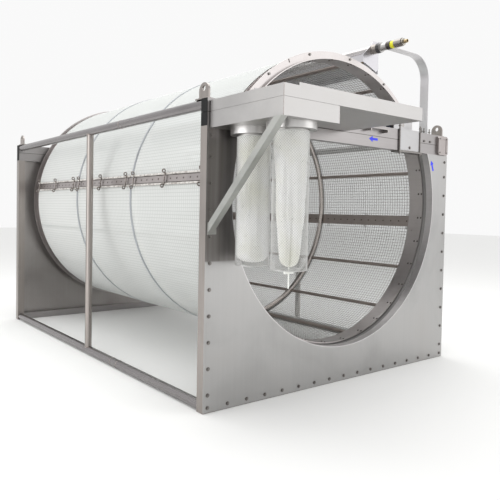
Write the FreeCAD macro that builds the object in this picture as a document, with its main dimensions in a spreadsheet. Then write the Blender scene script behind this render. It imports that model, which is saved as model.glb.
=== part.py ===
import FreeCAD, Part
import math
import os
import re

import Sketcher
from FreeCAD import Placement, Rotation, Vector

# Rotary drum screen in a welded tube frame.
# Origin: under the middle of the front sill, at floor level.
# +X right seen from the front, +Y towards the rear, +Z up. Millimetres.

SIZES = (
    # welded frame
    ("frame_width", 2400, "outside, left to right"),
    ("frame_length", 3544, "outside of front sill to outside of rear sill"),
    ("frame_height", 1830, "floor to top of the top beams"),
    ("tube_side", 64, "square tube of posts and sills"),
    ("tube_wall", 3, ""),
    ("beam_tube_height", 80, "one of the two stacked tubes of a top beam"),
    ("beam_tube_depth", 60, ""),
    ("beam_tube_wall", 3, ""),
    ("cap_thickness", 4, "moulded end cap in a beam tube"),
    ("cap_gap", 2, "line between two stacked caps"),
    ("rail_diameter", 60.3, "round side rails"),
    ("rail_wall", 2.6, ""),
    ("mid_post_diameter", 54, "upright pipe in the middle of a side"),
    ("mid_post_wall", 2.6, ""),
    ("mid_post_distance", 1690, "front sill centre to mid post"),
    ("lug_thickness", 12, "lifting lug"),
    ("lug_width", 100, ""),
    ("lug_straight", 50, "height below the round top"),
    ("lug_hole_radius", 16, ""),
    ("lug_setback", 45, "beam centre to lug centre"),
    ("lug_foot_length", 118, "foot plate under a lug"),
    ("lug_foot_width", 44, ""),
    ("lug_foot_thickness", 8, ""),
    # end plates
    ("plate_thickness", 3, "front and rear sheet"),
    ("plate_floor_gap", 4, ""),
    ("mouth_step", 12, "clear mouth beyond the running rims, radially"),
    ("collar_wall", 5, "rolled collar in the mouth"),
    ("collar_depth", 57, ""),
    ("seal_wall", 6, "rubber lip seal over the collar"),
    ("seal_grip", 20, "length of seal on the collar"),
    ("seal_gap", 0.3, "seal lip to drum flange"),
    ("bolt_pitch", 150, "sheet bolts, nominal"),
    ("low_bolt_rise", 74, "sill row to the lowest bolt of an upright row"),
    ("top_bolt_margin", 20, "top beam to the end of the even spacing"),
    ("top_bolt_drop", 33, "top bolt below the end of the even spacing"),
    ("bolt_hole_radius", 4, ""),
    ("bolt_head_radius", 8.5, "across corners"),
    ("bolt_head_height", 6, ""),
    # drum
    ("drum_setback", 75, "front sill centre to front flange face"),
    ("rim_radius", 1000, "inside running face of an end ring"),
    ("rim_wall", 8, ""),
    ("rim_width", 100, ""),
    ("flange_height", 56, "outside flange beyond the running rim"),
    ("flange_wall", 8, ""),
    ("lip_reach", 25, "rim running on outside the flange"),
    ("lip_wall", 6, ""),
    ("mesh_step", 37, "inside of the support mesh beyond the running rim"),
    ("mesh_thickness", 3, ""),
    ("mesh_panels", 12, "support mesh panels round the drum"),
    ("panel_gap", 2, "between neighbouring panels"),
    ("cloth_gap", 0.5, ""),
    ("cloth_thickness", 1.5, ""),
    ("band_width", 24, "clamping band over the cloth"),
    ("band_thickness", 3, ""),
    ("hoop_diameter", 42.4, "rolled tube hoop inside the drum"),
    ("stringer_diameter", 26.9, ""),
    ("stringer_count", 16, "places round the drum, two taken by the seams"),
    ("seam_angle", -7.5, "degrees above the right-hand side"),
    ("seam_strip_width", 90, ""),
    ("seam_strip_thickness", 4, ""),
    ("seam_plate_width", 46, "outer clamping plate along a seam"),
    ("seam_plate_thickness", 5, ""),
    ("hem_radius", 6, "rod in the hem of the cloth, each side of a seam"),
    ("hem_offset", 35, "seam line to hem rod"),
    ("hook_rod_radius", 4.5, "hook bolts across a seam"),
    ("hook_length", 104, ""),
    ("hook_eye_radius", 11, ""),
    ("hook_end_gap", 62, "section joint to the nearest hook bolt"),
    ("ring_bolt_count", 16, ""),
    ("ring_bolt_shift", 1.5, "degrees from the seam to the nearest bolt"),
    ("ring_bolt_inset", 16, "flange edge to bolt circle"),
    ("ring_bolt_head_radius", 9, ""),
    ("ring_bolt_head_height", 7, ""),
    ("splice_length", 170, ""),
    ("splice_thickness", 5, ""),
    ("splice_height", 26, ""),
    ("splice_angle", 113, "degrees"),
    ("rim_bolt_count", 32, "dome heads in each row on a rim"),
    ("rim_bolt_radius", 7, ""),
    ("rim_bolt_height", 5, ""),
    ("rim_bolt_edge", 9, "lip edge to the first bolt row"),
    ("rim_bolt_inset", 13, "flange face to the second bolt row"),
    ("disc_thickness", 3, "closed rear end of the drum"),
    ("disc_rib_count", 8, ""),
    ("disc_rib_depth", 40, ""),
    ("disc_rib_thickness", 6, ""),
    ("disc_hub_radius", 180, ""),
    # wheels that carry the drum
    ("wheel_radius", 73, ""),
    ("wheel_width", 44, ""),
    ("wheel_offset", 690, "drum centre line to wheel centre"),
    ("wheel_gap", 0.3, "tyre to rim"),
    ("wheel_rise", 48.606, "top of the beam to wheel centre"),
    ("tyre_wall", 16, ""),
    ("wheel_web", 14, ""),
    ("hub_radius", 27, ""),
    ("axle_radius", 15, ""),
    ("running_clearance", 0.05, "axle in hub"),
    ("bracket_width", 230, "saddle over the top beam"),
    ("bracket_plate", 6, ""),
    ("bracket_rise", 120, "inner plate above the beam"),
    ("clamp_rod_radius", 6, ""),
    ("clamp_rod_stand_out", 8, ""),
    ("clamp_rod_rise", 45, "rod above the beam"),
    ("clamp_bar_height", 12, ""),
    ("clamp_nut_radius", 11, ""),
    ("clamp_nut_height", 9, ""),
    ("motor_radius", 40, ""),
    ("motor_length", 140, ""),
    ("motor_fin_count", 9, ""),
    ("motor_fin_depth", 5, ""),
    ("shaft_grip", 36, "shaft inside the motor"),
    ("fan_cover_length", 38, ""),
    # launder in front of the drum and the box below it
    ("launder_inset", 20, "frame edge to left wall"),
    ("launder_right", 50, "centre line to right wall, left of centre"),
    ("launder_reach", 631, "front plate to front wall"),
    ("launder_pad_width", 60, "spacer pads between launder and beam"),
    ("launder_floor_drop", 78, "beam top down to launder floor"),
    ("launder_rim_rise", 1, "beam top up to launder rim"),
    ("launder_low_rim", 16, "left part lower by"),
    ("launder_step", 105, "length of the low part on the front wall"),
    ("sheet_wall", 3, "folded sheet"),
    ("hopper_width", 399, ""),
    ("hopper_height", 92, ""),
    ("seam_line", 3, "between hopper and launder"),
    ("spigot_collar_radius", 137, ""),
    ("spigot_collar_height", 40, ""),
    ("spigot_inset", 205, "left wall to spigot centres"),
    ("front_spigot_reach", 500, "beam centre to front spigot"),
    ("rear_spigot_reach", 185, "beam centre to rear spigot"),
    ("spigot_neck_length", 60, ""),
    ("basket_radius", 100, ""),
    ("basket_wall", 3, ""),
    ("basket_length", 740, ""),
    ("basket_top_gap", 5, "below the spigot collar"),
    ("basket_floor_hole", 28, "radius"),
    ("bag_wall", 3, ""),
    ("bag_clearance", 1, "bag to basket"),
    ("bag_short", 16, "bag bottom above basket bottom"),
    ("neck_clearance", 0.5, "spigot neck to bag"),
    ("tie_radius", 4, "cord below the right-hand bag"),
    ("tie_drop", 100, "below the basket"),
    ("tie_bar_length", 62, ""),
    ("tie_bar_radius", 7, ""),
    ("brace_side", 40, "angle section"),
    ("brace_wall", 4, ""),
    ("brace_inset", 8, "frame edge to brace"),
    ("brace_drop", 567, "bag box down to the brace's foot"),
    ("brace_foot_plate", 5, ""),
    ("brace_foot_size", 64, ""),
    # debris trough inside the drum
    ("trough_left", 420, ""),
    ("trough_right", 520, ""),
    ("trough_floor_left", 350, ""),
    ("trough_floor_right", 90, "floor's right edge, left of centre"),
    ("trough_floor_rise", 16, "beam top up to trough floor"),
    ("trough_depth", 79, ""),
    ("trough_overhang", 75, "lip in front of the beam centre"),
    ("trough_rear_gap", 70, "trough end to rear disc"),
    ("shelf_left", 180, "bracket on the front beam"),
    ("shelf_width", 200, ""),
    ("shelf_depth", 46, ""),
    ("shelf_drop", 32, "beam top down to shelf"),
    ("gusset_width", 70, ""),
    # spray hood and header
    ("hood_front", 115, "beam centre to hood front plate"),
    ("hood_clearance", 13, "hook bolts to lower edge of the hood"),
    ("hood_left", 300, ""),
    ("hood_right", 475, ""),
    ("hood_left_side", 57, "height of the left side sheet"),
    ("hood_right_side", 39, ""),
    ("hood_plate_rise", 65, "header centre to top of the end plates"),
    ("header_offset", 410, ""),
    ("header_rise", 147, "hood's lower edge to header centre"),
    ("header_radius", 30.15, ""),
    ("header_wall", 2.6, ""),
    ("nozzle_pitch", 150, ""),
    ("nozzle_radius", 9, ""),
    ("nozzle_reach", 108, "header centre to nozzle tip"),
    ("arch_depth", 80, "hoop strip over the drum"),
    ("arch_wall", 5, ""),
    ("arch_inset", 65, "frame edge to the outside of an arch"),
    ("arch_rise", 5, "end plates to the top of an arch"),
    ("arch_corner", 180, "outside radius"),
    ("arch_foot_width", 66, ""),
    ("arch_foot_wall", 6, ""),
    # quick coupling on the header
    ("coupling_flange_radius", 36, ""),
    ("coupling_ring_radius", 38, ""),
    ("coupling_barrel_radius", 28, ""),
    ("coupling_core_radius", 20, ""),
    ("coupling_collar_length", 44, ""),
    ("coupling_ring_length", 38, ""),
    ("coupling_barrel_length", 52, ""),
    ("coupling_sleeve_length", 128, ""),
    ("coupling_sleeve_radius", 31, ""),
    ("coupling_travel", 8, ""),
    ("coupling_tip_radius", 13, ""),
    ("coupling_tip_length", 42, ""),
    ("coupling_clearance", 0.05, "sleeve on core"),
    # cover on the right end of the front beam
    ("cover_width", 130, ""),
    ("cover_depth", 20, ""),
    ("cover_inset", 14, "from the frame's right edge"),
    ("cover_corner", 22, ""),
    ("stud_offset", 885, "adjusting studs on the front beam"),
    ("stud_pitch", 36, ""),
    ("stud_rise", 46, ""),
    ("stud_radius", 5, ""),
)

doc = FreeCAD.newDocument("RotaryDrumScreen")
sheet = doc.addObject("Spreadsheet::Sheet", "Sizes")
for row, (alias, number, note) in enumerate(SIZES, start=1):
    sheet.set(f"A{row}", alias)
    sheet.set(f"B{row}", str(number))
    sheet.setAlias(f"B{row}", alias)
    sheet.set(f"C{row}", note)
doc.recompute()

nodes = []

# Places that follow from the sheet's sizes.
DERIVED = {
    "opening_radius": "@rim_radius + @mouth_step",
    "flange_radius": "@rim_radius + @flange_height",
    "mesh_radius": "@rim_radius + @mesh_step",
    "ring_bolt_circle": "@flange_radius - @ring_bolt_inset",
    "wheel_line": "@rim_radius - @wheel_radius - @wheel_gap",
    "wheel_height": "@frame_height + @wheel_rise",
    "drum_axis_height": "@wheel_height - sqrt(@wheel_line ^ 2 - @wheel_offset ^ 2)",
    "cloth_inside": "@mesh_radius + @mesh_thickness + @cloth_gap",
    "cloth_outside": "@cloth_inside + @cloth_thickness",
    "bar_face": "@cloth_outside + @band_thickness + 2 * @cloth_gap",
    "hook_line": "@bar_face + 2 * @hem_radius + @hook_rod_radius",
    "hood_clear_radius": "@hook_line + 2 * @hook_eye_radius + @hook_rod_radius + @hood_clearance",
    "launder_left": "@frame_width / 2 - @launder_inset",
    "launder_floor_height": "@frame_height - @launder_floor_drop",
    "launder_rim_height": "@frame_height + @launder_rim_rise",
    "spigot_offset": "@launder_left - @spigot_inset",
    "hopper_bottom": "@launder_floor_height - @seam_line - @hopper_height",
    "brace_foot_height": "@hopper_bottom - @brace_drop",
    "trough_floor_height": "@frame_height + @trough_floor_rise",
    "trough_rim_height": "@trough_floor_height + @trough_depth",
    "shelf_height": "@frame_height - @shelf_drop",
    "header_height": "@drum_axis_height + sqrt(@hood_clear_radius ^ 2 - @header_offset ^ 2)"
                     " + @header_rise",
    "hood_plate_height": "@header_height + @hood_plate_rise",
    "arch_right": "@frame_width / 2 - @arch_inset",
    "arch_height": "@hood_plate_height + @arch_rise",
}


def formula(text):
    """@name stands for a derived place or the sheet's cell of that name."""
    while "@" in text:
        text = re.sub(
            r"@(\w+)",
            lambda found: f"({DERIVED[found[1]]})" if found[1] in DERIVED else f"Sizes.{found[1]}",
            text)
    return text


def size(text):
    return float(sheet.evalExpression(formula(text)))


def bind(item, **formulas):
    for prop, text in formulas.items():
        item.setExpression(prop, formula(text))


def place(item, x="0", y="0", z="0", turn=None):
    item.Placement = Placement(Vector(0, 0, 0), turn or Rotation())
    for axis, text in (("x", x), ("y", y), ("z", z)):
        item.setExpression(f"Placement.Base.{axis}", formula(text))
    return item


def node(item, label):
    item.Label = label
    nodes.append(item)
    return item


def box(name, length, width, height, x, y, z):
    item = doc.addObject("Part::Box", name)
    bind(item, Length=length, Width=width, Height=height)
    return place(item, x, y, z)


TURN = {
    "X": Rotation(Vector(0, 1, 0), 90),
    "Y": Rotation(Vector(1, 0, 0), -90),
    "Z": Rotation(),
}


def rod(name, radius, length, x, y, z, along="Z"):
    item = doc.addObject("Part::Cylinder", name)
    bind(item, Radius=radius, Height=length)
    return place(item, x, y, z, TURN[along])


def fuse(name, parts):
    item = doc.addObject("Part::MultiFuse", name)
    item.Shapes = parts
    return item


def group(name, parts):
    item = doc.addObject("Part::Compound", name)
    item.Links = parts
    return item


def cut(name, base, tools):
    item = doc.addObject("Part::Cut", name)
    item.Base = base
    item.Tool = tools[0] if len(tools) == 1 else group(name + "_tools", tools)
    return item


def common(name, base, tool):
    item = doc.addObject("Part::Common", name)
    item.Base = base
    item.Tool = tool
    return item


def pipe(name, radius, wall, length, x, y, z, along="Z"):
    outer = rod(name + "_outer", radius, length, x, y, z, along)
    inner = rod(name + "_bore", f"({radius}) - ({wall})", length, x, y, z, along)
    return cut(name, outer, [inner])


def square_tube(name, length, width, height, x, y, z, wall, along):
    """A rectangular hollow section, open at both ends along its axis."""
    outer = box(name + "_outer", length, width, height, x, y, z)
    sides = {"X": (length, x), "Y": (width, y), "Z": (height, z)}
    inner = {}
    for axis, (span, start) in sides.items():
        if axis == along:
            inner[axis] = (span, start)
        else:
            inner[axis] = (f"({span}) - 2 * ({wall})", f"({start}) + ({wall})")
    bore = box(
        name + "_bore",
        *(inner[axis][0] for axis in "XYZ"),
        *(inner[axis][1] for axis in "XYZ"),
    )
    return cut(name, outer, [bore])


def outline(body, role, points, name):
    """A closed sketch of straight lines, every corner bound to the sheet."""
    sketch = body.newObject("Sketcher::SketchObject", name)
    plane = next(f for f in body.Origin.OriginFeatures if f.Role == role)
    sketch.AttachmentSupport = [(plane, "")]
    sketch.MapMode = "FlatFace"
    corners = [Vector(size(x), size(y), 0) for x, y in points]
    count = len(points)
    for i in range(count):
        sketch.addGeometry(Part.LineSegment(corners[i], corners[(i + 1) % count]))
    for i in range(count):
        sketch.addConstraint(Sketcher.Constraint("Coincident", i, 2, (i + 1) % count, 1))
    for i, (x, y) in enumerate(points):
        for kind, text, now in (("DistanceX", x, corners[i].x), ("DistanceY", y, corners[i].y)):
            rule = sketch.addConstraint(Sketcher.Constraint(kind, -1, 1, i, 1, now))
            sketch.setExpression(f"Constraints[{rule}]", formula(text))
    return sketch


def padded(name, role, points, length, reverse=False):
    body = doc.addObject("PartDesign::Body", name)
    pad = body.newObject("PartDesign::Pad", name + "_pad")
    pad.Profile = outline(body, role, points, name + "_sketch")
    bind(pad, Length=length)
    pad.Reversed = reverse
    body.Tip = pad
    return body


def turned(name, points, role="XY_Plane"):
    """A profile (radius, distance along the axis) turned a full circle."""
    body = doc.addObject("PartDesign::Body", name)
    turn = body.newObject("PartDesign::Revolution", name + "_turn")
    sketch = outline(body, role, points, name + "_sketch")
    turn.Profile = sketch
    turn.ReferenceAxis = (sketch, ["V_Axis"])
    turn.Angle = 360
    body.Tip = turn
    return body


def repeated(label, master, placements):
    """Copies of one bound piece, each a solid of its own."""
    doc.recompute()
    item = doc.addObject("Part::Feature", label + "_set")
    item.Shape = Part.makeCompound([master.Shape.transformed(p.toMatrix()) for p in placements])
    return node(item, label)


AXIS = Vector(0, 0, size("@drum_axis_height"))


def about_drum(degrees, y=0.0):
    """Turns a piece drawn at the drum's right-hand side up by an angle."""
    turn = Placement(Vector(0, y, 0), Rotation())
    spin = Placement(AXIS, Rotation(Vector(0, 1, 0), -degrees))
    return spin.multiply(Placement(AXIS.negative(), Rotation())).multiply(turn)


REAR_LINE = "(@frame_length - @tube_side)"
ENDS = ("front", "rear")
SIDES = (-1, 1)


def inward(end, near, far):
    """Start and width along Y of a span measured from an end beam towards the drum."""
    width = f"(({far}) - ({near}))"
    if end == "front":
        return f"({near})", width
    return f"({REAR_LINE} - ({far}))", width


# ---------------------------------------------------------------- frame

BEAM_BOTTOM = "(@frame_height - 2 * @beam_tube_height)"
POST_LINE = "(@frame_width / 2 - @tube_side / 2)"
TOP_RAIL_HEIGHT = "(@frame_height - @rail_diameter / 2)"
LOW_RAIL_HEIGHT = "(@tube_side / 2)"

posts, sills, beams, caps = [], [], [], []
for end in ENDS:
    tube_y, tube_width = inward(end, "-@tube_side / 2", "@tube_side / 2")
    beam_y, beam_width = inward(end, "-@beam_tube_depth / 2", "@beam_tube_depth / 2")
    for side in SIDES:
        posts.append(square_tube(
            f"post_{end}_{side + 1}", "@tube_side", tube_width, BEAM_BOTTOM,
            f"{side} * {POST_LINE} - @tube_side / 2", tube_y, "0", "@tube_wall", "Z"))
    sills.append(square_tube(
        f"sill_{end}", "@frame_width - 2 * @tube_side", tube_width, "@tube_side",
        "-(@frame_width / 2 - @tube_side)", tube_y, "0", "@tube_wall", "X"))
    for level in (0, 1):
        low = f"{BEAM_BOTTOM} + {level} * @beam_tube_height"
        beams.append(square_tube(
            f"beam_{end}_{level}", "@frame_width - 2 * @cap_thickness", beam_width, "@beam_tube_height",
            "-(@frame_width / 2 - @cap_thickness)", beam_y, low, "@beam_tube_wall", "X"))
        for left in ("-@frame_width / 2", "@frame_width / 2 - @cap_thickness"):
            caps.append(box(
                f"cap_{end}_{level}", "@cap_thickness", beam_width, "@beam_tube_height - @cap_gap",
                left, beam_y, f"{low} + @cap_gap / 2"))
node(group("posts", posts), "corner_posts")
node(group("sill_pair", sills), "sills")
node(group("beams", beams), "beam_tubes")
node(group("caps", caps), "beam_end_caps")

top_rails, low_rails, mid_posts, lugs = [], [], [], []
RAIL_LENGTH_LOW = "@frame_length - 2 * @tube_side"
RAIL_LENGTH_TOP = "@frame_length - @tube_side - @beam_tube_depth"
for side in SIDES:
    x = f"{side} * {POST_LINE}"
    top_rails.append(pipe(
        f"top_rail_{side + 1}", "@rail_diameter / 2", "@rail_wall", RAIL_LENGTH_TOP,
        x, "@beam_tube_depth / 2", TOP_RAIL_HEIGHT, "Y"))
    low_rails.append(pipe(
        f"low_rail_{side + 1}", "@rail_diameter / 2", "@rail_wall", RAIL_LENGTH_LOW,
        x, "@tube_side / 2", LOW_RAIL_HEIGHT, "Y"))
    upright = pipe(
        f"upright_{side + 1}", "@mid_post_diameter / 2", "@mid_post_wall",
        f"{TOP_RAIL_HEIGHT} - {LOW_RAIL_HEIGHT}", x, "@mid_post_distance", LOW_RAIL_HEIGHT)
    saddles = [
        rod(f"saddle_{side + 1}_{level}", "@rail_diameter / 2", "2 * @mid_post_diameter",
            x, "@mid_post_distance - @mid_post_diameter", height, "Y")
        for level, height in enumerate((TOP_RAIL_HEIGHT, LOW_RAIL_HEIGHT))
    ]
    mid_posts.append(cut(f"mid_post_{side + 1}", upright, saddles))
    for end in ENDS:
        lug_x = f"{side} * {POST_LINE} - @lug_thickness / 2"
        lug_y, lug_width = inward(
            end, "@lug_setback - @lug_width / 2", "@lug_setback + @lug_width / 2")
        foot_y, foot_width = inward(
            end, "@lug_setback - @lug_width / 2", "@lug_setback - @lug_width / 2 + @lug_foot_length")
        crown_z = "@frame_height + @lug_straight"
        crown_y = f"{lug_y} + @lug_width / 2"
        plate = fuse(f"lug_plate_{end}_{side + 1}", [
            box(f"lug_base_{end}", "@lug_thickness", lug_width, "@lug_straight",
                lug_x, lug_y, "@frame_height"),
            rod(f"lug_crown_{end}", "@lug_width / 2", "@lug_thickness", lug_x, crown_y, crown_z, "X"),
            box(f"lug_foot_{end}", "@lug_foot_width", foot_width, "@lug_foot_thickness",
                f"{side} * {POST_LINE} - @lug_foot_width / 2", foot_y, "@frame_height"),
        ])
        eye = rod(f"lug_eye_{end}", "@lug_hole_radius", "@lug_thickness",
                  lug_x, crown_y, f"{crown_z} + @lug_hole_radius", "X")
        lugs.append(cut(f"lug_{end}_{side + 1}", plate, [eye]))
node(group("top_rails", top_rails), "top_side_rails")
node(group("low_rails", low_rails), "bottom_side_rails")
node(group("uprights", mid_posts), "mid_posts")
node(group("lugs", lugs), "lifting_lugs")

# ---------------------------------------------------------------- end plates

BOLT_LINE = POST_LINE
across = max(1, round(size(f"2 * {BOLT_LINE} / @bolt_pitch")))
upward = max(2, round(size(f"({BEAM_BOTTOM} - @tube_side) / @bolt_pitch")))
bolt_places = [
    (f"-{BOLT_LINE} + {i} * 2 * {BOLT_LINE} / {across}", LOW_RAIL_HEIGHT) for i in range(across + 1)
]
for side in SIDES:
    low_bolt = f"({LOW_RAIL_HEIGHT} + @low_bolt_rise)"
    for i in range(upward):
        rise = f"{low_bolt} + {i} * ({BEAM_BOTTOM} - @top_bolt_margin - {low_bolt}) / {upward - 1}"
        if i == upward - 1:
            rise += " - @top_bolt_drop"
        bolt_places.append((f"{side} * {BOLT_LINE}", rise))

collars, seals = [], []
for end in ENDS:
    outside = "-(@tube_side / 2 + @plate_thickness)"
    plate_y, plate_width = inward(end, outside, "-@tube_side / 2")
    sheet_plate = box(
        f"{end}_sheet", "@frame_width", plate_width, f"{BEAM_BOTTOM} - @plate_floor_gap",
        "-@frame_width / 2", plate_y, "@plate_floor_gap")
    mouth = rod(f"{end}_mouth", "@opening_radius + @collar_wall", plate_width,
                "0", plate_y, "@drum_axis_height", "Y")
    holes = [
        rod(f"{end}_hole_{i}", "@bolt_hole_radius", plate_width, x, plate_y, z, "Y")
        for i, (x, z) in enumerate(bolt_places)
    ]
    node(cut(f"{end}_panel", sheet_plate, [mouth, *holes]), f"{end}_plate")
    below_beam = box(
        f"{end}_below_beam", "@frame_width", "@drum_setback * 4", BEAM_BOTTOM,
        "-@frame_width / 2", inward(end, "-@drum_setback * 2", "@drum_setback * 2")[0], "0")
    collar_y, collar_width = inward(end, outside, f"{outside} + @collar_depth")
    collar = pipe(f"{end}_collar_ring", "@opening_radius + @collar_wall", "@collar_wall",
                  collar_width, "0", collar_y, "@drum_axis_height", "Y")
    collars.append(common(f"{end}_collar", collar, below_beam))
    seal_y, seal_width = inward(
        end, f"{outside} + @collar_depth - @seal_grip", "@drum_setback - @seal_gap")
    seal = pipe(f"{end}_seal_ring", "@opening_radius + @collar_wall + @seal_wall", "@seal_wall",
                seal_width, "0", seal_y, "@drum_axis_height", "Y")
    seals.append(common(f"{end}_seal", seal, below_beam))
node(group("collars", collars), "plate_collars")
node(group("seals", seals), "drum_seals")

bolt_head = doc.addObject("Part::Prism", "bolt_head")
bolt_head.Polygon = 6
bind(bolt_head, Circumradius="@bolt_head_radius", Height="@bolt_head_height")
place(bolt_head, turn=Rotation(Vector(1, 0, 0), 90))
bolt_shank = rod("bolt_shank", "@bolt_hole_radius", "@plate_thickness", "0", "0", "0", "Y")
sheet_bolt = fuse("sheet_bolt", [bolt_head, bolt_shank])
bolt_spots = []
for x, z in bolt_places:
    front_face = -size("@tube_side / 2 + @plate_thickness")
    rear_face = size(f"{REAR_LINE} + @tube_side / 2 + @plate_thickness")
    bolt_spots.append(Placement(Vector(size(x), front_face, size(z)), Rotation()))
    bolt_spots.append(Placement(Vector(size(x), rear_face, size(z)), Rotation(Vector(0, 0, 1), 180)))
repeated("plate_bolts", sheet_bolt, bolt_spots)

# ---------------------------------------------------------------- drum

DRUM_END = f"({REAR_LINE} - @drum_setback)"
SPAN_START = "(@drum_setback + @rim_width)"
SPAN_END = f"({DRUM_END} - @rim_width)"
SECTIONS = 3
SECTION_LENGTH = f"(({SPAN_END} - {SPAN_START}) / {SECTIONS})"
HOOP_LINE = "(@mesh_radius - @hoop_diameter / 2)"
SECTION_NUMBERS = range(SECTIONS)


def section_start(number):
    return f"({SPAN_START} + {number} * {SECTION_LENGTH})"


# An end ring is a rolled channel: flange outside, running rim, flange towards the mesh.
rings, lips = [], []
for end in ENDS:
    near = "0" if end == "front" else "@rim_width"
    step = 1 if end == "front" else -1
    outer_wall = f"{near} + {step} * @flange_wall"
    inner_wall = f"{near} + {step} * (@rim_width - @flange_wall)"
    inner_face = f"{near} + {step} * @rim_width"
    ring = turned(f"{end}_ring", [
        ("@rim_radius", near),
        ("@flange_radius", near),
        ("@flange_radius", outer_wall),
        ("@rim_radius + @rim_wall", outer_wall),
        ("@rim_radius + @rim_wall", inner_wall),
        ("@mesh_radius", inner_wall),
        ("@mesh_radius", inner_face),
        ("@rim_radius", inner_face),
    ])
    ring_y = "@drum_setback" if end == "front" else f"{DRUM_END} - @rim_width"
    rings.append(place(ring, "0", ring_y, "@drum_axis_height"))
    lip_y, lip_width = inward(end, "@drum_setback - @lip_reach", "@drum_setback")
    lips.append(pipe(f"{end}_lip", "@rim_radius + @lip_wall", "@lip_wall",
                     lip_width, "0", lip_y, "@drum_axis_height", "Y"))
node(group("end_rings", rings), "drum_rings")
node(group("ring_edges", lips), "ring_lips")

hoops, bands = [], []
for number in range(1, SECTIONS):
    middle = section_start(number)
    hoop = doc.addObject("Part::Torus", f"hoop_{number}")
    bind(hoop, Radius1=HOOP_LINE, Radius2="@hoop_diameter / 2")
    hoops.append(place(hoop, "0", middle, "@drum_axis_height", TURN["Y"]))
    bands.append(pipe(
        f"band_{number}", "@cloth_outside + @cloth_gap + @band_thickness", "@band_thickness",
        "@band_width", "0", f"{middle} - @band_width / 2", "@drum_axis_height", "Y"))
node(group("hoop_pair", hoops), "drum_hoops")
node(group("band_pair", bands), "cloth_bands")

step_angle = 360 / int(size("@stringer_count"))
seam_angle = size("@seam_angle")
SEAMS = (seam_angle, seam_angle + 180)
stringer_angles = [
    seam_angle + k * step_angle
    for k in range(int(size("@stringer_count")))
    if k % (size("@stringer_count") / 2)
]
stringer_spans = []
for number in SECTION_NUMBERS:
    bar = rod(f"stringer_bar_{number}", "@stringer_diameter / 2", SECTION_LENGTH,
              "@mesh_radius - @stringer_diameter / 2", section_start(number),
              "@drum_axis_height", "Y")
    ends = [hoops[i] for i in (number - 1, number) if 0 <= i < len(hoops)]
    stringer_spans.append(cut(f"stringer_span_{number}", bar, ends))
stringer_master = group("stringer_master", stringer_spans)
repeated("drum_stringers", stringer_master, [about_drum(a) for a in stringer_angles])


def shell(name, inside, thickness, start, length, degrees):
    """A curved sheet centred on the drum's right-hand side, spanning an angle."""
    walls = []
    for wall, radius in (("outer", f"{inside} + {thickness}"), ("inner", inside)):
        drum = rod(f"{name}_{wall}", radius, length, "0", start, "@drum_axis_height", "Y")
        bind(drum, Angle=degrees)
        walls.append(drum)
    return cut(name, walls[0], [walls[1]])


panel_angle = "(360 / @mesh_panels - @panel_gap / @mesh_radius * 180 / pi)"
mesh_spans = [
    shell(f"mesh_span_{number}", "@mesh_radius", "@mesh_thickness",
          f"{section_start(number)} + @panel_gap / 2", f"{SECTION_LENGTH} - @panel_gap", panel_angle)
    for number in SECTION_NUMBERS
]
mesh_master = group("mesh_master", mesh_spans)
panel_count = int(size("@mesh_panels"))
repeated("support_mesh", mesh_master,
         [about_drum(seam_angle + k * 360 / panel_count) for k in range(panel_count)])

half_angle = "(180 - @panel_gap / @mesh_radius * 180 / pi)"
cloth_spans = [
    shell(f"cloth_span_{number}", "@cloth_inside", "@cloth_thickness",
          f"{section_start(number)} + @panel_gap / 2", f"{SECTION_LENGTH} - @panel_gap", half_angle)
    for number in SECTION_NUMBERS
]
cloth_master = group("cloth_master", cloth_spans)
repeated("screen_cloth", cloth_master, [about_drum(angle) for angle in SEAMS])

# A seam has a flat strip inside, a plate and two hem rods outside, and hook bolts over the rods.
strip_spans, bar_spans, hook_spans = [], [], []
STRIP_FACE = "(sqrt(@mesh_radius ^ 2 - (@seam_strip_width / 2) ^ 2) - @seam_strip_thickness)"
for number in SECTION_NUMBERS:
    clear = "@hoop_diameter / 2 + @panel_gap"
    low = f"({clear})" if number else "@panel_gap"
    high = f"({clear})" if number < SECTIONS - 1 else "@panel_gap"
    strip_spans.append(box(
        f"strip_{number}", "@seam_strip_thickness", f"{SECTION_LENGTH} - {low} - {high}",
        "@seam_strip_width", STRIP_FACE,
        f"{section_start(number)} + {low}", "@drum_axis_height - @seam_strip_width / 2"))
    bar_spans.append(box(
        f"seam_plate_{number}", "@seam_plate_thickness", f"{SECTION_LENGTH} - @panel_gap",
        "@seam_plate_width", "@bar_face", f"{section_start(number)} + @panel_gap / 2",
        "@drum_axis_height - @seam_plate_width / 2"))
    for side in SIDES:
        bar_spans.append(rod(
            f"hem_{number}_{side + 1}", "@hem_radius", f"{SECTION_LENGTH} - @panel_gap",
            "@bar_face + @hem_radius", f"{section_start(number)} + @panel_gap / 2",
            f"@drum_axis_height + {side} * @hem_offset", "Y"))
    for i, reach in enumerate((
        "@hook_end_gap", f"{SECTION_LENGTH} / 2", f"{SECTION_LENGTH} - @hook_end_gap",
    )):
        y = f"{section_start(number)} + {reach}"
        shank = rod(f"hook_{number}_{i}", "@hook_rod_radius", "@hook_length",
                    "@hook_line", y, "@drum_axis_height - @hook_length / 2")
        ring_parts = [shank]
        for side in SIDES:
            eye = doc.addObject("Part::Torus", f"eye_{number}_{i}_{side + 1}")
            bind(eye, Radius1="@hook_eye_radius", Radius2="@hook_rod_radius")
            place(eye, "@hook_line + @hook_eye_radius", y,
                  f"@drum_axis_height + {side} * @hook_length / 2", TURN["Y"])
            ring_parts.append(eye)
        hook_spans.append(fuse(f"hook_bolt_{number}_{i}", ring_parts))
for label, pieces in (
    ("seam_strips", strip_spans), ("seam_plates", bar_spans), ("seam_hooks", hook_spans),
):
    repeated(label, group(label + "_master", pieces), [about_drum(angle) for angle in SEAMS])

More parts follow.
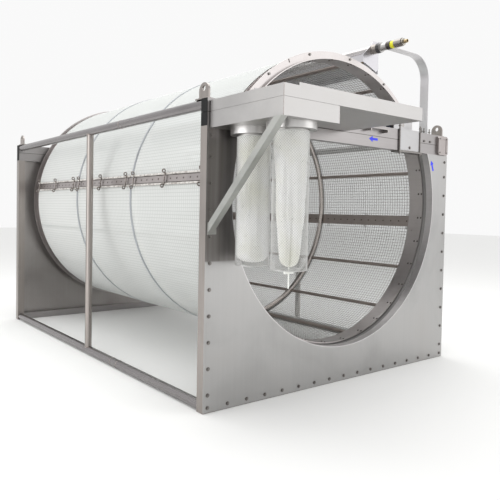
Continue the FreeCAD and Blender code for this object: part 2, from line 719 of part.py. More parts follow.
ring_bolt = doc.addObject("Part::Prism", "ring_bolt")
ring_bolt.Polygon = 6
bind(ring_bolt, Circumradius="@ring_bolt_head_radius", Height="@ring_bolt_head_height")
place(ring_bolt, "@ring_bolt_circle", "0", "@drum_axis_height", Rotation(Vector(1, 0, 0), 90))
bolt_count = int(size("@ring_bolt_count"))
bolt_angles = [seam_angle + size("@ring_bolt_shift") + k * 360 / bolt_count for k in range(bolt_count)]
splice = box("splice", "@splice_height", "@splice_thickness", "@splice_length",
             "@flange_radius - @splice_height - @splice_thickness", "-@splice_thickness",
             "@drum_axis_height - @splice_length / 2")
splice_angle = size("@splice_angle")
splice_half = math.degrees(size("@splice_length / @flange_radius / 2 + 0.02"))
splice_spots = []
for angle in (splice_angle, splice_angle + 180):
    splice_spots.append(about_drum(angle, size("@drum_setback")))
    splice_spots.append(about_drum(angle, size(f"{DRUM_END} + @splice_thickness")))
repeated("ring_splices", splice, splice_spots)
clear_spots = []
for angle in bolt_angles:
    if min((angle - a) % 360 for a in (splice_angle - splice_half, splice_angle + 180 - splice_half)) \
            > 2 * splice_half:
        clear_spots.append(about_drum(angle, size("@drum_setback")))
        clear_spots.append(about_drum(angle, size(f"{DRUM_END} + @ring_bolt_head_height")))
repeated("ring_bolts", ring_bolt, clear_spots)

rim_bolt = rod("rim_bolt", "@rim_bolt_radius", "@rim_bolt_height",
               "@rim_radius - @rim_bolt_height - 0.1", "0", "@drum_axis_height", "X")
rim_rows = [
    size(inward(end, line, line)[0])
    for end in ENDS
    for line in ("@drum_setback - @lip_reach + @rim_bolt_edge", "@drum_setback + @rim_bolt_inset")
]
rim_count = int(size("@rim_bolt_count"))
repeated("rim_bolts", rim_bolt, [
    about_drum(seam_angle + size("@ring_bolt_shift") + k * 360 / rim_count, y)
    for k in range(rim_count) for y in rim_rows
])

disc = rod("end_disc", "@mesh_radius - @stringer_diameter - @panel_gap / 2", "@disc_thickness",
           "0", f"{SPAN_END} - @disc_thickness", "@drum_axis_height", "Y")
boss = rod("disc_boss", "@disc_hub_radius", "@disc_rib_depth", "0", SPAN_END, "@drum_axis_height", "Y")
ribs = []
for k in range(int(size("@disc_rib_count"))):
    rib = box(f"disc_rib_{k}", "@rim_radius - @wheel_radius * 2 - @panel_gap * 4", "@disc_rib_depth",
              "@disc_rib_thickness", "0", "0", "-@disc_rib_thickness / 2")
    rib.Placement = Placement(Vector(0, 0, 0), Rotation(Vector(0, 1, 0), -k * 360 / size("@disc_rib_count")))
    for axis, text in (("y", SPAN_END), ("z", "@drum_axis_height")):
        rib.setExpression(f"Placement.Base.{axis}", formula(text))
    ribs.append(rib)
node(fuse("stiff_disc", [disc, boss, *ribs]), "drum_end_disc")

# ---------------------------------------------------------------- wheels and their brackets

WHEEL_MIDDLE = "(@drum_setback + (@rim_width - @flange_wall) / 2)"
# name, end, side, and whether the clamp rods pass outside (-1) or inside (1) the beam
WHEELS = (
    ("drive", "rear", 1, -1),
    ("front_idler", "front", -1, 1),
    ("rear_left", "rear", -1, -1),
    ("front_right", "front", 1, -1),
)
BORE = "@axle_radius + @running_clearance"
HALF = "@wheel_width / 2"
brackets, clamps, axles = [], [], []
for name, end, side, rod_side in WHEELS:
    x = f"{side} * @wheel_offset"
    wheel_y = inward(end, WHEEL_MIDDLE, WHEEL_MIDDLE)[0]
    bore = "@axle_radius" if name == "drive" else BORE
    hub = turned(f"{name}_hub_turned", [
        (bore, f"-{HALF}"),
        ("@hub_radius", f"-{HALF}"),
        ("@hub_radius", "-@wheel_web / 2"),
        ("@wheel_radius - 1.5 * @tyre_wall", "-@wheel_web / 2"),
        ("@wheel_radius - 1.5 * @tyre_wall", f"-{HALF} + 2"),
        ("@wheel_radius - @tyre_wall", f"-{HALF} + 2"),
        ("@wheel_radius - @tyre_wall", f"{HALF} - 2"),
        ("@wheel_radius - 1.5 * @tyre_wall", f"{HALF} - 2"),
        ("@wheel_radius - 1.5 * @tyre_wall", "@wheel_web / 2"),
        ("@hub_radius", "@wheel_web / 2"),
        ("@hub_radius", HALF),
        (bore, HALF),
    ])
    node(place(hub, x, wheel_y, "@wheel_height"), f"{name}_hub")
    tyre = turned(f"{name}_tyre_turned", [
        ("@wheel_radius - @tyre_wall", f"-{HALF}"),
        ("@wheel_radius - 4", f"-{HALF}"),
        ("@wheel_radius", f"-{HALF} + 5"),
        ("@wheel_radius", f"{HALF} - 5"),
        ("@wheel_radius - 4", HALF),
        ("@wheel_radius - @tyre_wall", HALF),
    ])
    node(place(tyre, x, wheel_y, "@wheel_height"), f"{name}_tyre")

    beam_half = "@beam_tube_depth / 2"
    outer_y, outer_width = inward(end, f"-{beam_half} - @bracket_plate", f"-{beam_half}")
    top_y, top_width = inward(end, f"-{beam_half} - @bracket_plate", f"{beam_half} + @bracket_plate")
    inner_y, inner_width = inward(end, beam_half, f"{beam_half} + @bracket_plate")
    plate_low = f"{BEAM_BOTTOM} + 5"
    plate_x = f"{x} - @bracket_width / 2"
    saddle = fuse(f"saddle_{name}", [
        box(f"outer_plate_{name}", "@bracket_width", outer_width, "@frame_height - (" + plate_low + ")",
            plate_x, outer_y, plate_low),
        box(f"top_plate_{name}", "@bracket_width", top_width, "@bracket_plate",
            plate_x, top_y, "@frame_height"),
        box(f"inner_plate_{name}", "@bracket_width", inner_width,
            "@frame_height + @bracket_rise - (" + plate_low + ")", plate_x, inner_y, plate_low),
    ])
    axle_hole = rod(f"axle_hole_{name}", BORE if name == "drive" else "@axle_radius", inner_width,
                    x, inner_y, "@wheel_height", "Y")
    brackets.append(cut(f"bracket_{name}", saddle, [axle_hole]))

    rod_line = f"{rod_side} * ({beam_half} + @clamp_rod_stand_out)"
    rod_y = inward(end, rod_line, rod_line)[0]
    bar_span = sorted((
        f"{rod_side} * ({beam_half} + @clamp_rod_stand_out + 2 * @clamp_rod_radius)",
        f"-{rod_side} * {beam_half}",
    ), key=size)
    bar_y, bar_width = inward(end, *bar_span)
    bar_x = f"{plate_x} - 2 * @clamp_nut_radius - @bracket_plate"
    rod_xs = (f"{plate_x} - @clamp_nut_radius - 2",
              f"{plate_x} + @bracket_width + @clamp_nut_radius + 2")
    bar = box(f"clamp_bar_{name}", "@bracket_width + 4 * @clamp_nut_radius + 2 * @bracket_plate",
              bar_width, "@clamp_bar_height", bar_x, bar_y,
              f"{BEAM_BOTTOM} - @clamp_bar_height")
    rod_low = f"{BEAM_BOTTOM} - @clamp_bar_height - 2 * @clamp_nut_height"
    rod_length = f"@frame_height + @clamp_rod_rise - ({rod_low})"
    rod_parts = [bar]
    for k, rod_x in enumerate(rod_xs):
        rod_parts.append(rod(f"clamp_rod_{name}_{k}", "@clamp_rod_radius", rod_length,
                             rod_x, rod_y, rod_low))
        for level, height in enumerate((
            f"{BEAM_BOTTOM} - @clamp_bar_height - @clamp_nut_height",
            f"@frame_height + @clamp_rod_rise / 2",
        )):
            nut = doc.addObject("Part::Prism", f"clamp_nut_{name}_{k}_{level}")
            nut.Polygon = 6
            bind(nut, Circumradius="@clamp_nut_radius", Height="@clamp_nut_height")
            rod_parts.append(place(nut, rod_x, rod_y, height))
    clamps.append(fuse(f"clamp_{name}", rod_parts))

    if name != "drive":
        axle_y, axle_width = inward(end, beam_half, f"{WHEEL_MIDDLE} + {HALF}")
        axles.append(rod(f"axle_{name}", "@axle_radius", axle_width, x, axle_y, "@wheel_height", "Y"))

for i in (0, 1, 3):
    stud_x = f"@stud_offset + {i} * @stud_pitch"
    stud = rod(f"stud_{i}", "@stud_radius", "@stud_rise", stud_x, "0", "@frame_height")
    stud_nut = doc.addObject("Part::Prism", f"stud_nut_{i}")
    stud_nut.Polygon = 6
    bind(stud_nut, Circumradius="2 * @stud_radius", Height="1.6 * @stud_radius")
    place(stud_nut, stud_x, "0", "@frame_height + @stud_rise / 3")
    clamps.append(fuse(f"beam_stud_{i}", [stud, stud_nut]))
node(group("brackets", brackets), "wheel_brackets")
node(group("clamps", clamps), "bracket_clamps")
node(group("axles", axles), "idler_axles")

# The motor stands outside the rear beam; its shaft passes over the beam to the drive wheel.
MOTOR_FACE = f"({REAR_LINE} - @beam_tube_depth / 2)"
shaft_start = f"{REAR_LINE} - {WHEEL_MIDDLE} - {HALF}"
shaft = rod("drive_shaft_rod", "@axle_radius", f"{MOTOR_FACE} + @shaft_grip - ({shaft_start})",
            "@wheel_offset", shaft_start, "@wheel_height", "Y")
node(shaft, "drive_shaft")

fin_count = int(size("@motor_fin_count"))
motor_profile = [
    ("0", "@motor_length"),
    ("@motor_radius - @motor_fin_depth", "@motor_length"),
]
FIN_STEP = "((@motor_length - @shaft_grip) / @motor_fin_count)"
for k in range(fin_count):
    high = f"@motor_length - ({k} + 0.25) * {FIN_STEP}"
    low = f"@motor_length - ({k} + 0.65) * {FIN_STEP}"
    motor_profile += [
        ("@motor_radius - @motor_fin_depth", high),
        ("@motor_radius", high),
        ("@motor_radius", low),
        ("@motor_radius - @motor_fin_depth", low),
    ]
motor_profile += [
    ("@motor_radius - @motor_fin_depth", "@shaft_grip - 2"),
    ("@motor_radius - 1", "@shaft_grip - 2"),
    ("@motor_radius - 1", "0"),
    (BORE, "0"),
    (BORE, "@shaft_grip + 1"),
    ("0", "@shaft_grip + 1"),
]
motor = turned("motor_turned", motor_profile)
node(place(motor, "@wheel_offset", MOTOR_FACE, "@wheel_height"), "gearmotor")
fan_cover = turned("fan_cover_turned", [
    ("0", "@fan_cover_length"),
    ("@motor_radius - 6", "@fan_cover_length"),
    ("@motor_radius", "@fan_cover_length - 6"),
    ("@motor_radius", "0"),
    ("@motor_radius - 2", "0"),
    ("@motor_radius - 2", "@fan_cover_length - 7"),
    ("0", "@fan_cover_length - 2"),
])
node(place(fan_cover, "@wheel_offset", f"{MOTOR_FACE} + @motor_length", "@wheel_height"),
     "motor_fan_cover")

# ---------------------------------------------------------------- launder, bag box and filter bags

LAUNDER_FRONT = "-(@tube_side / 2 + @launder_reach)"
LAUNDER_BACK = "-(@beam_tube_depth / 2 + @bracket_plate)"
LAUNDER_DEPTH = f"({LAUNDER_BACK} - ({LAUNDER_FRONT}))"
LAUNDER_LENGTH = "(@launder_left - @launder_right)"
SHELL = "@sheet_wall"
launder_solid = box("launder_solid", LAUNDER_LENGTH, LAUNDER_DEPTH,
                    "@launder_rim_height - @launder_floor_height",
                    "-@launder_left", LAUNDER_FRONT, "@launder_floor_height")
launder_hollow = box("launder_hollow", f"{LAUNDER_LENGTH} - 2 * {SHELL}", f"{LAUNDER_DEPTH} - 2 * {SHELL}",
                     "@launder_rim_height - @launder_floor_height",
                     f"-@launder_left + {SHELL}", f"{LAUNDER_FRONT} + {SHELL}",
                     f"@launder_floor_height + {SHELL}")
low_rim = box("launder_low_side", "@launder_step", f"{LAUNDER_DEPTH}", "@launder_low_rim",
              "-@launder_left", LAUNDER_FRONT, "@launder_rim_height - @launder_low_rim")
drop = box("launder_drop", f"@hopper_width - 4 * {SHELL}", f"{LAUNDER_DEPTH} - 4 * {SHELL}", f"2 * {SHELL}",
           f"-@launder_left + 2 * {SHELL}", f"{LAUNDER_FRONT} + 2 * {SHELL}",
           f"@launder_floor_height - {SHELL} / 2")
tray = cut("launder_tray", launder_solid, [launder_hollow, low_rim, drop])
pads = [
    box(f"launder_pad_{i}", "@launder_pad_width", "@bracket_plate", "@launder_pad_width",
        f"-@launder_left + {share} * ({LAUNDER_LENGTH} - @launder_pad_width)",
        LAUNDER_BACK, "@launder_floor_height")
    for i, share in enumerate((0.05, 0.7, 0.95))
]
node(fuse("launder_welded", [tray, *pads]), "launder")

HOPPER_TOP = "(@launder_floor_height - @seam_line)"
hopper_solid = box("hopper_solid", "@hopper_width", LAUNDER_DEPTH, "@hopper_height",
                   "-@launder_left", LAUNDER_FRONT, "@hopper_bottom")
hopper_hollow = box("hopper_hollow", f"@hopper_width - 2 * {SHELL}", f"{LAUNDER_DEPTH} - 2 * {SHELL}",
                    "@hopper_height", f"-@launder_left + {SHELL}", f"{LAUNDER_FRONT} + {SHELL}",
                    f"@hopper_bottom + {SHELL}")
seam_frame = box("hopper_seam", f"@hopper_width - 2 * {SHELL}", f"{LAUNDER_DEPTH} - 2 * {SHELL}", "@seam_line",
                 f"-@launder_left + {SHELL}", f"{LAUNDER_FRONT} + {SHELL}", HOPPER_TOP)
seam_hollow = box("hopper_seam_hollow", f"@hopper_width - 4 * {SHELL}", f"{LAUNDER_DEPTH} - 4 * {SHELL}",
                  "@seam_line", f"-@launder_left + 2 * {SHELL}", f"{LAUNDER_FRONT} + 2 * {SHELL}", HOPPER_TOP)
BAG_OUTSIDE = "(@basket_radius - @basket_wall - @bag_clearance)"
NECK_OUTSIDE = f"({BAG_OUTSIDE} - @bag_wall - @neck_clearance)"
NECK_BORE = f"({NECK_OUTSIDE} - {SHELL})"
SPIGOTS = (
    ("left", "@rear_spigot_reach"),
    ("right", "@front_spigot_reach"),
)
drains, spigots = [], []
for name, reach in SPIGOTS:
    drains.append(rod(f"drain_{name}", NECK_BORE, f"2 * {SHELL}", "-@spigot_offset", f"-{reach}",
                      f"@hopper_bottom - {SHELL} / 2"))
    spigot = turned(f"spigot_{name}_turned", [
        (NECK_BORE, "0"),
        ("@spigot_collar_radius", "0"),
        ("@spigot_collar_radius", "-@spigot_collar_height"),
        (NECK_OUTSIDE, "-@spigot_collar_height"),
        (NECK_OUTSIDE, "-@spigot_collar_height - @spigot_neck_length"),
        (NECK_BORE, "-@spigot_collar_height - @spigot_neck_length"),
    ], "XZ_Plane")
    spigots.append(place(spigot, "-@spigot_offset", f"-{reach}", "@hopper_bottom"))
hopper_body = cut("hopper_box", hopper_solid, [hopper_hollow, *drains])
hopper_lip = cut("hopper_lip", seam_frame, [seam_hollow])
node(group("hopper", [hopper_body, hopper_lip]), "bag_hopper")
node(group("spigot_pair", spigots), "hopper_spigots")

BASKET_TOP = "(@hopper_bottom - @spigot_collar_height - @basket_top_gap)"
for name, reach in SPIGOTS:
    basket = turned(f"{name}_basket_turned", [
        ("@basket_radius - @basket_wall", "0"),
        ("@basket_radius", "0"),
        ("@basket_radius", "-@basket_length"),
        ("@basket_floor_hole", "-@basket_length"),
        ("@basket_floor_hole", "-@basket_length + @basket_wall"),
        ("@basket_radius - @basket_wall", "-@basket_length + @basket_wall"),
    ], "XZ_Plane")
    node(place(basket, "-@spigot_offset", f"-{reach}", BASKET_TOP), f"{name}_basket")
    bag_floor = "-@basket_length + @bag_short"
    bag = turned(f"{name}_bag_turned", [
        (f"{BAG_OUTSIDE} - @bag_wall", "0"),
        (BAG_OUTSIDE, "0"),
        (BAG_OUTSIDE, f"{bag_floor} + @basket_radius / 2"),
        (f"{BAG_OUTSIDE} - 8 * @bag_wall", f"{bag_floor}"),
        ("0", f"{bag_floor}"),
        ("0", f"{bag_floor} + @bag_wall"),
        (f"{BAG_OUTSIDE} - 9 * @bag_wall", f"{bag_floor} + @bag_wall"),
        (f"{BAG_OUTSIDE} - @bag_wall", f"{bag_floor} + @basket_radius / 2 + @bag_wall"),
    ], "XZ_Plane")
    node(place(bag, "-@spigot_offset", f"-{reach}", BASKET_TOP), f"{name}_bag")

TIE_TOP = f"({BASKET_TOP} - @basket_length + @bag_short)"
tie_cord = rod("tie_cord", "@tie_radius", "@bag_short + @tie_drop", "-@spigot_offset",
               "-@front_spigot_reach", f"{TIE_TOP} - @bag_short - @tie_drop")
tie_bar = rod("tie_bar", "@tie_bar_radius", "@tie_bar_length", "-@spigot_offset - @tie_bar_length / 2",
              "-@front_spigot_reach", f"{TIE_TOP} - @bag_short - 2 * @tie_bar_radius", "X")
node(fuse("tie", [tie_cord, tie_bar]), "right_bag_tie")

# Angle brace at 45 degrees from the bag box down to the front plate, with a welded foot.
BRACE_X = "-(@frame_width / 2 - @brace_inset)"
PLATE_FACE = "-(@tube_side / 2 + @plate_thickness)"
brace = padded("brace_angle", "XY_Plane", [
    ("0", "0"),
    ("@brace_side", "0"),
    ("@brace_side", "@brace_wall"),
    ("@brace_wall", "@brace_wall"),
    ("@brace_wall", "@brace_side"),
    ("0", "@brace_side"),
], "2 * @brace_drop")
brace_slope = math.degrees(math.atan2(
    size("@brace_drop"), size(f"{PLATE_FACE} - @brace_foot_plate - ({LAUNDER_FRONT}) - @brace_side")))
place(brace, BRACE_X, f"{PLATE_FACE} - @brace_foot_plate", "@brace_foot_height - @brace_side",
      Rotation(Vector(1, 0, 0), 90 - brace_slope))
brace_room = box("brace_room", "2 * @brace_side", f"{PLATE_FACE} - @brace_foot_plate - ({LAUNDER_FRONT})",
                 "@brace_drop + 2 * @brace_side", BRACE_X, LAUNDER_FRONT,
                 "@brace_foot_height - 2 * @brace_side")
trimmed = common("brace_trimmed", brace, brace_room)
foot = box("brace_foot", "@brace_foot_size", "@brace_foot_plate", "1.1 * @brace_foot_size",
           BRACE_X, f"{PLATE_FACE} - @brace_foot_plate", "@brace_foot_height - 0.7 * @brace_foot_size")
node(fuse("brace", [trimmed, foot]), "launder_brace")

# ---------------------------------------------------------------- debris trough inside the drum

TROUGH_BACK = f"({SPAN_END} - @disc_thickness - @trough_rear_gap)"
TROUGH_LENGTH = f"({TROUGH_BACK} + @trough_overhang)"
trough = padded("trough_sheet", "XZ_Plane", [
    ("-@trough_left", "@trough_rim_height"),
    ("-@trough_floor_left", "@trough_floor_height"),
    ("-@trough_floor_right", "@trough_floor_height"),
    ("@trough_right", "@trough_rim_height"),
    (f"@trough_right - {SHELL}", f"@trough_rim_height + {SHELL}"),
    (f"-@trough_floor_right - {SHELL} / 4", f"@trough_floor_height + {SHELL}"),
    (f"-@trough_floor_left + {SHELL} / 2", f"@trough_floor_height + {SHELL}"),
    (f"-@trough_left + {SHELL}", f"@trough_rim_height + {SHELL}"),
], TROUGH_LENGTH, reverse=True)
place(trough, "0", "-@trough_overhang", "0")
trough_end = padded("trough_end_sheet", "XZ_Plane", [
    ("-@trough_left", "@trough_rim_height"),
    ("-@trough_floor_left", "@trough_floor_height"),
    ("-@trough_floor_right", "@trough_floor_height"),
    ("@trough_right", "@trough_rim_height"),
], SHELL, reverse=True)
place(trough_end, "0", TROUGH_BACK, "0")
node(fuse("trough_fold", [trough, trough_end]), "debris_trough")

TROUGH_FOOT = "@trough_floor_height - @frame_height"
front_foot = box("trough_front_foot", "@trough_floor_left - @trough_floor_right", "@beam_tube_depth",
                 TROUGH_FOOT, "-@trough_floor_left", "-@beam_tube_depth / 2", "@frame_height")
BEAM_FACE = "-@beam_tube_depth / 2"
shelf = fuse("trough_shelf", [
    box("shelf_top", "@shelf_width", "@shelf_depth", SHELL + " * 2",
        "@shelf_left", f"{BEAM_FACE} - @shelf_depth", "@shelf_height"),
    box("shelf_left_tab", "4 * @sheet_wall", "@shelf_depth", "6 * @sheet_wall",
        "@shelf_left", f"{BEAM_FACE} - @shelf_depth", "@shelf_height - 6 * @sheet_wall"),
    box("shelf_right_tab", "4 * @sheet_wall", "@shelf_depth", "6 * @sheet_wall",
        "@shelf_left + @shelf_width - 4 * @sheet_wall", f"{BEAM_FACE} - @shelf_depth",
        "@shelf_height - 6 * @sheet_wall"),
])
TROUGH_SLOPE = (
    "((@trough_rim_height - @trough_floor_height) / (@trough_right + @trough_floor_right))"
)
gusset = padded("gusset_plate", "XZ_Plane", [
    ("@shelf_left", "@shelf_height + 2 * @sheet_wall"),
    ("@shelf_left + @gusset_width", "@shelf_height + 2 * @sheet_wall"),
    ("@shelf_left", f"@trough_floor_height + {TROUGH_SLOPE} * (@shelf_left + @trough_floor_right)"),
], "2 * @sheet_wall", reverse=True)
place(gusset, "0", "-@trough_overhang", "0")
node(group("supports", [front_foot, shelf, gusset]), "trough_supports")

# ---------------------------------------------------------------- spray hood, header and arches

HOOD_FRONT = "@hood_front"
HOOD_BACK = f"({REAR_LINE} - @hood_front)"


def hood_edge(x):
    """Height of the hood's lower edge, concentric with the drum."""
    return f"(@drum_axis_height + sqrt(@hood_clear_radius ^ 2 - ({x}) ^ 2))"


HOOD_LEFT_TOP = f"{hood_edge('@hood_left')} + @hood_left_side"
HOOD_RIGHT_TOP = f"{hood_edge('@hood_right')} + @hood_right_side"
HOOD_SPAN = f"({HOOD_BACK} - {HOOD_FRONT} - 2 * {SHELL})"
hood = padded("hood_fold", "XZ_Plane", [
    ("@hood_left", hood_edge("@hood_left")),
    ("@hood_left", HOOD_LEFT_TOP),
    ("@hood_right", HOOD_RIGHT_TOP),
    ("@hood_right", hood_edge("@hood_right")),
    (f"@hood_right - {SHELL}", hood_edge("@hood_right")),
    (f"@hood_right - {SHELL}", f"{HOOD_RIGHT_TOP} - {SHELL}"),
    (f"@hood_left + {SHELL}", f"{HOOD_LEFT_TOP} - {SHELL} * 2"),
    (f"@hood_left + {SHELL}", hood_edge("@hood_left")),
], HOOD_SPAN, reverse=True)
place(hood, "0", f"{HOOD_FRONT} + {SHELL}", "0")

header_line = Vector(size("@header_offset"), 0, size("@header_height - @drum_axis_height"))
spray_turn = Rotation(Vector(0, 0, 1), header_line.negative())
nozzle_gaps = max(1, round(size(f"{HOOD_SPAN} / @nozzle_pitch")))
nozzle_ys = [
    f"({HOOD_FRONT} + {SHELL} + ({i} + 0.5) * {HOOD_SPAN} / {nozzle_gaps})" for i in range(nozzle_gaps)
]
nozzles, slots = [], []
for i, y in enumerate(nozzle_ys):
    stem = doc.addObject("Part::Cylinder", f"nozzle_stem_{i}")
    bind(stem, Radius="@nozzle_radius", Height="@nozzle_reach")
    place(stem, "@header_offset", y, "@header_height", spray_turn)
    nozzles.append(stem)
    slot = doc.addObject("Part::Cylinder", f"nozzle_slot_{i}")
    bind(slot, Radius="@nozzle_radius + 1", Height="@nozzle_reach + 20")
    place(slot, "@header_offset", y, "@header_height", spray_turn)
    slots.append(slot)
node(cut("hood_slotted", hood, slots), "spray_hood")
header_fill = rod("header_fill", "@header_radius", f"{HOOD_BACK} - {HOOD_FRONT}",
                  "@header_offset", HOOD_FRONT, "@header_height", "Y")
node(cut("nozzle_row", group("nozzle_stems", nozzles), [header_fill]), "spray_nozzles")
header_bore = rod("header_bore", "@header_radius - @header_wall",
                  f"{HOOD_BACK} - {HOOD_FRONT} - @header_wall",
                  "@header_offset", HOOD_FRONT, "@header_height", "Y")
header_outer = rod("header_outer", "@header_radius", f"{HOOD_BACK} - {HOOD_FRONT}",
                   "@header_offset", HOOD_FRONT, "@header_height", "Y")
node(cut("header_pipe", header_outer, [header_bore]), "spray_header")

hood_plates, arches = [], []
for end in ENDS:
    plate_y, plate_width = inward(end, HOOD_FRONT, f"{HOOD_FRONT} + {SHELL}")
    cheek = padded(f"hood_cheek_{end}", "XZ_Plane", [
        ("@hood_left", hood_edge("@hood_left")),
        ("@hood_left", HOOD_LEFT_TOP),
        ("@header_offset - 0.7 * @header_radius", "@header_height + @header_radius"),
        ("@header_offset", "@hood_plate_height"),
        ("@hood_right", "@hood_plate_height"),
        ("@hood_right", HOOD_RIGHT_TOP),
        ("@hood_right - 25", hood_edge("@hood_right - 25")),
        ("@header_offset - 40", hood_edge("@header_offset - 40")),
    ], SHELL, reverse=True)
    place(cheek, "0", plate_y, "0")
    pipe_hole = rod(f"cheek_hole_{end}", "@header_radius", f"3 * {SHELL}",
                    "@header_offset", f"{plate_y} - {SHELL}", "@header_height", "Y")
    hood_plates.append(cut(f"hood_plate_{end}", cheek, [pipe_hole]))
    arch_y, arch_width = inward(end, HOOD_FRONT, f"{HOOD_FRONT} + @arch_depth")
    corner_x = "@arch_right - @arch_corner"
    corner_z = "@arch_height - @arch_corner"
    legs = [
        box(f"arch_leg_{end}", "@arch_wall", arch_width, f"{corner_z} - @frame_height",
            "@arch_right - @arch_wall", arch_y, "@frame_height"),
        box(f"arch_top_{end}", f"{corner_x} - @hood_right", arch_width, "@arch_wall",
            "@hood_right", arch_y, "@arch_height - @arch_wall"),
        box(f"arch_foot_{end}", "@arch_foot_width", arch_width, "@arch_foot_wall",
            "@arch_right - @arch_wall", arch_y, "@frame_height"),
    ]
    corner_outer = rod(f"arch_corner_outer_{end}", "@arch_corner", arch_width,
                       corner_x, arch_y, corner_z, "Y")
    corner_inner = rod(f"arch_corner_inner_{end}", "@arch_corner - @arch_wall", arch_width,
                       corner_x, arch_y, corner_z, "Y")
    corner_room = box(f"arch_corner_room_{end}", "@arch_corner", arch_width, "@arch_corner",
                      corner_x, arch_y, corner_z)
    ring = cut(f"arch_ring_{end}", corner_outer, [corner_inner])
    arches.append(fuse(f"arch_{end}", [*legs, common(f"arch_bend_{end}", ring, corner_room)]))
node(group("cheeks", hood_plates), "hood_end_plates")
node(group("arch_pair", arches), "hood_arches")

# Quick coupling: collar and barrel fixed to the header, a sliding sleeve, a brass tail.
COLLAR_END = "@coupling_collar_length"
RING_END = f"({COLLAR_END} + @coupling_ring_length)"
BARREL_END = f"({RING_END} + @coupling_barrel_length)"
CORE_END = f"({BARREL_END} + @coupling_travel + @coupling_sleeve_length)"
TAIL_END = f"({CORE_END} + @coupling_tip_length)"
coupling = turned("coupling_turned", [
    ("0", "0"),
    ("@coupling_flange_radius", "0"),
    ("@coupling_flange_radius", f"-{COLLAR_END}"),
    ("@coupling_ring_radius", f"-{COLLAR_END}"),
    ("@coupling_ring_radius", f"-{RING_END}"),
    ("@coupling_barrel_radius", f"-{RING_END}"),
    ("@coupling_barrel_radius", f"-{BARREL_END}"),
    ("@coupling_core_radius", f"-{BARREL_END}"),
    ("@coupling_core_radius", f"-{CORE_END}"),
    ("@coupling_barrel_radius - 3", f"-{CORE_END}"),
    ("@coupling_barrel_radius - 3", f"-{CORE_END} - 12"),
    ("@coupling_tip_radius", f"-{CORE_END} - 12"),
    ("@coupling_tip_radius", f"-{TAIL_END}"),
    ("@coupling_tip_radius - 4", f"-{TAIL_END}"),
    ("@coupling_tip_radius - 4", f"-{CORE_END}"),
    ("0", f"-{CORE_END}"),
])
node(place(coupling, "@header_offset", HOOD_FRONT, "@header_height"), "coupling_body")
sleeve = turned("sleeve_turned", [
    ("@coupling_core_radius + @coupling_clearance", f"-({BARREL_END} + @coupling_travel)"),
    ("@coupling_sleeve_radius", f"-({BARREL_END} + @coupling_travel)"),
    ("@coupling_sleeve_radius", f"-({BARREL_END} + @coupling_travel + 30)"),
    ("@coupling_sleeve_radius - 3", f"-({BARREL_END} + @coupling_travel + 32)"),
    ("@coupling_sleeve_radius - 3", f"-({BARREL_END} + @coupling_travel + 62)"),
    ("@coupling_sleeve_radius - 1", f"-({BARREL_END} + @coupling_travel + 64)"),
    ("@coupling_sleeve_radius - 1", f"-({CORE_END} - 1)"),
    ("@coupling_core_radius + @coupling_clearance", f"-({CORE_END} - 1)"),
])
node(place(sleeve, "@header_offset", HOOD_FRONT, "@header_height"), "coupling_sleeve")

# Cover with rounded corners over the right end of the front beam.
cover_x = "@frame_width / 2 - @cover_inset - @cover_width"
cover_z = f"{BEAM_BOTTOM} + @cap_gap"
cover_height = "2 * @beam_tube_height - 4 * @cap_gap"
cover_y = f"{BEAM_FACE} - @cover_depth"
cover_parts = [
    box("cover_wide", "@cover_width", "@cover_depth", f"{cover_height} - 2 * @cover_corner",
        cover_x, cover_y, f"{cover_z} + @cover_corner"),
    box("cover_tall", "@cover_width - 2 * @cover_corner", "@cover_depth", cover_height,
        f"{cover_x} + @cover_corner", cover_y, cover_z),
]
for i, (across_side, up_side) in enumerate(((0, 0), (1, 0), (0, 1), (1, 1))):
    cover_parts.append(rod(
        f"cover_round_{i}", "@cover_corner", "@cover_depth",
        f"{cover_x} + @cover_corner + {across_side} * (@cover_width - 2 * @cover_corner)", cover_y,
        f"{cover_z} + @cover_corner + {up_side} * ({cover_height} - 2 * @cover_corner)", "Y"))
cover_solid = fuse("cover_solid", cover_parts)
cover_recess = box("cover_recess", "@cover_width - 2 * @cover_corner", "3",
                   f"{cover_height} - 2 * @cover_corner", f"{cover_x} + @cover_corner", cover_y,
                   f"{cover_z} + @cover_corner")
node(cut("cover", cover_solid, [cover_recess]), "beam_end_cover")

# ---------------------------------------------------------------- checks and export

doc.recompute()
for item in doc.Objects:
    if {"Invalid", "Error"} & set(item.State):
        raise RuntimeError(f"{item.Name} failed: {item.State}")
for item in nodes:
    if item.Shape.isNull() or not item.Shape.isValid():
        raise RuntimeError(f"{item.Label} has no valid shape")

os.makedirs("parts", exist_ok=True)
for item in nodes:
    item.Shape.exportStep(f"parts/{item.Label}.step")
    extent = item.Shape.BoundBox
    print(f"{item.Label:20s} {len(item.Shape.Solids):4d} solids  "
          f"X {extent.XMin:8.1f} {extent.XMax:8.1f}  Y {extent.YMin:8.1f} {extent.YMax:8.1f}  "
          f"Z {extent.ZMin:8.1f} {extent.ZMax:8.1f}")
print(len(nodes), "nodes")
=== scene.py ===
import math

import bmesh
import bpy
from mathutils import Matrix, Vector, noise


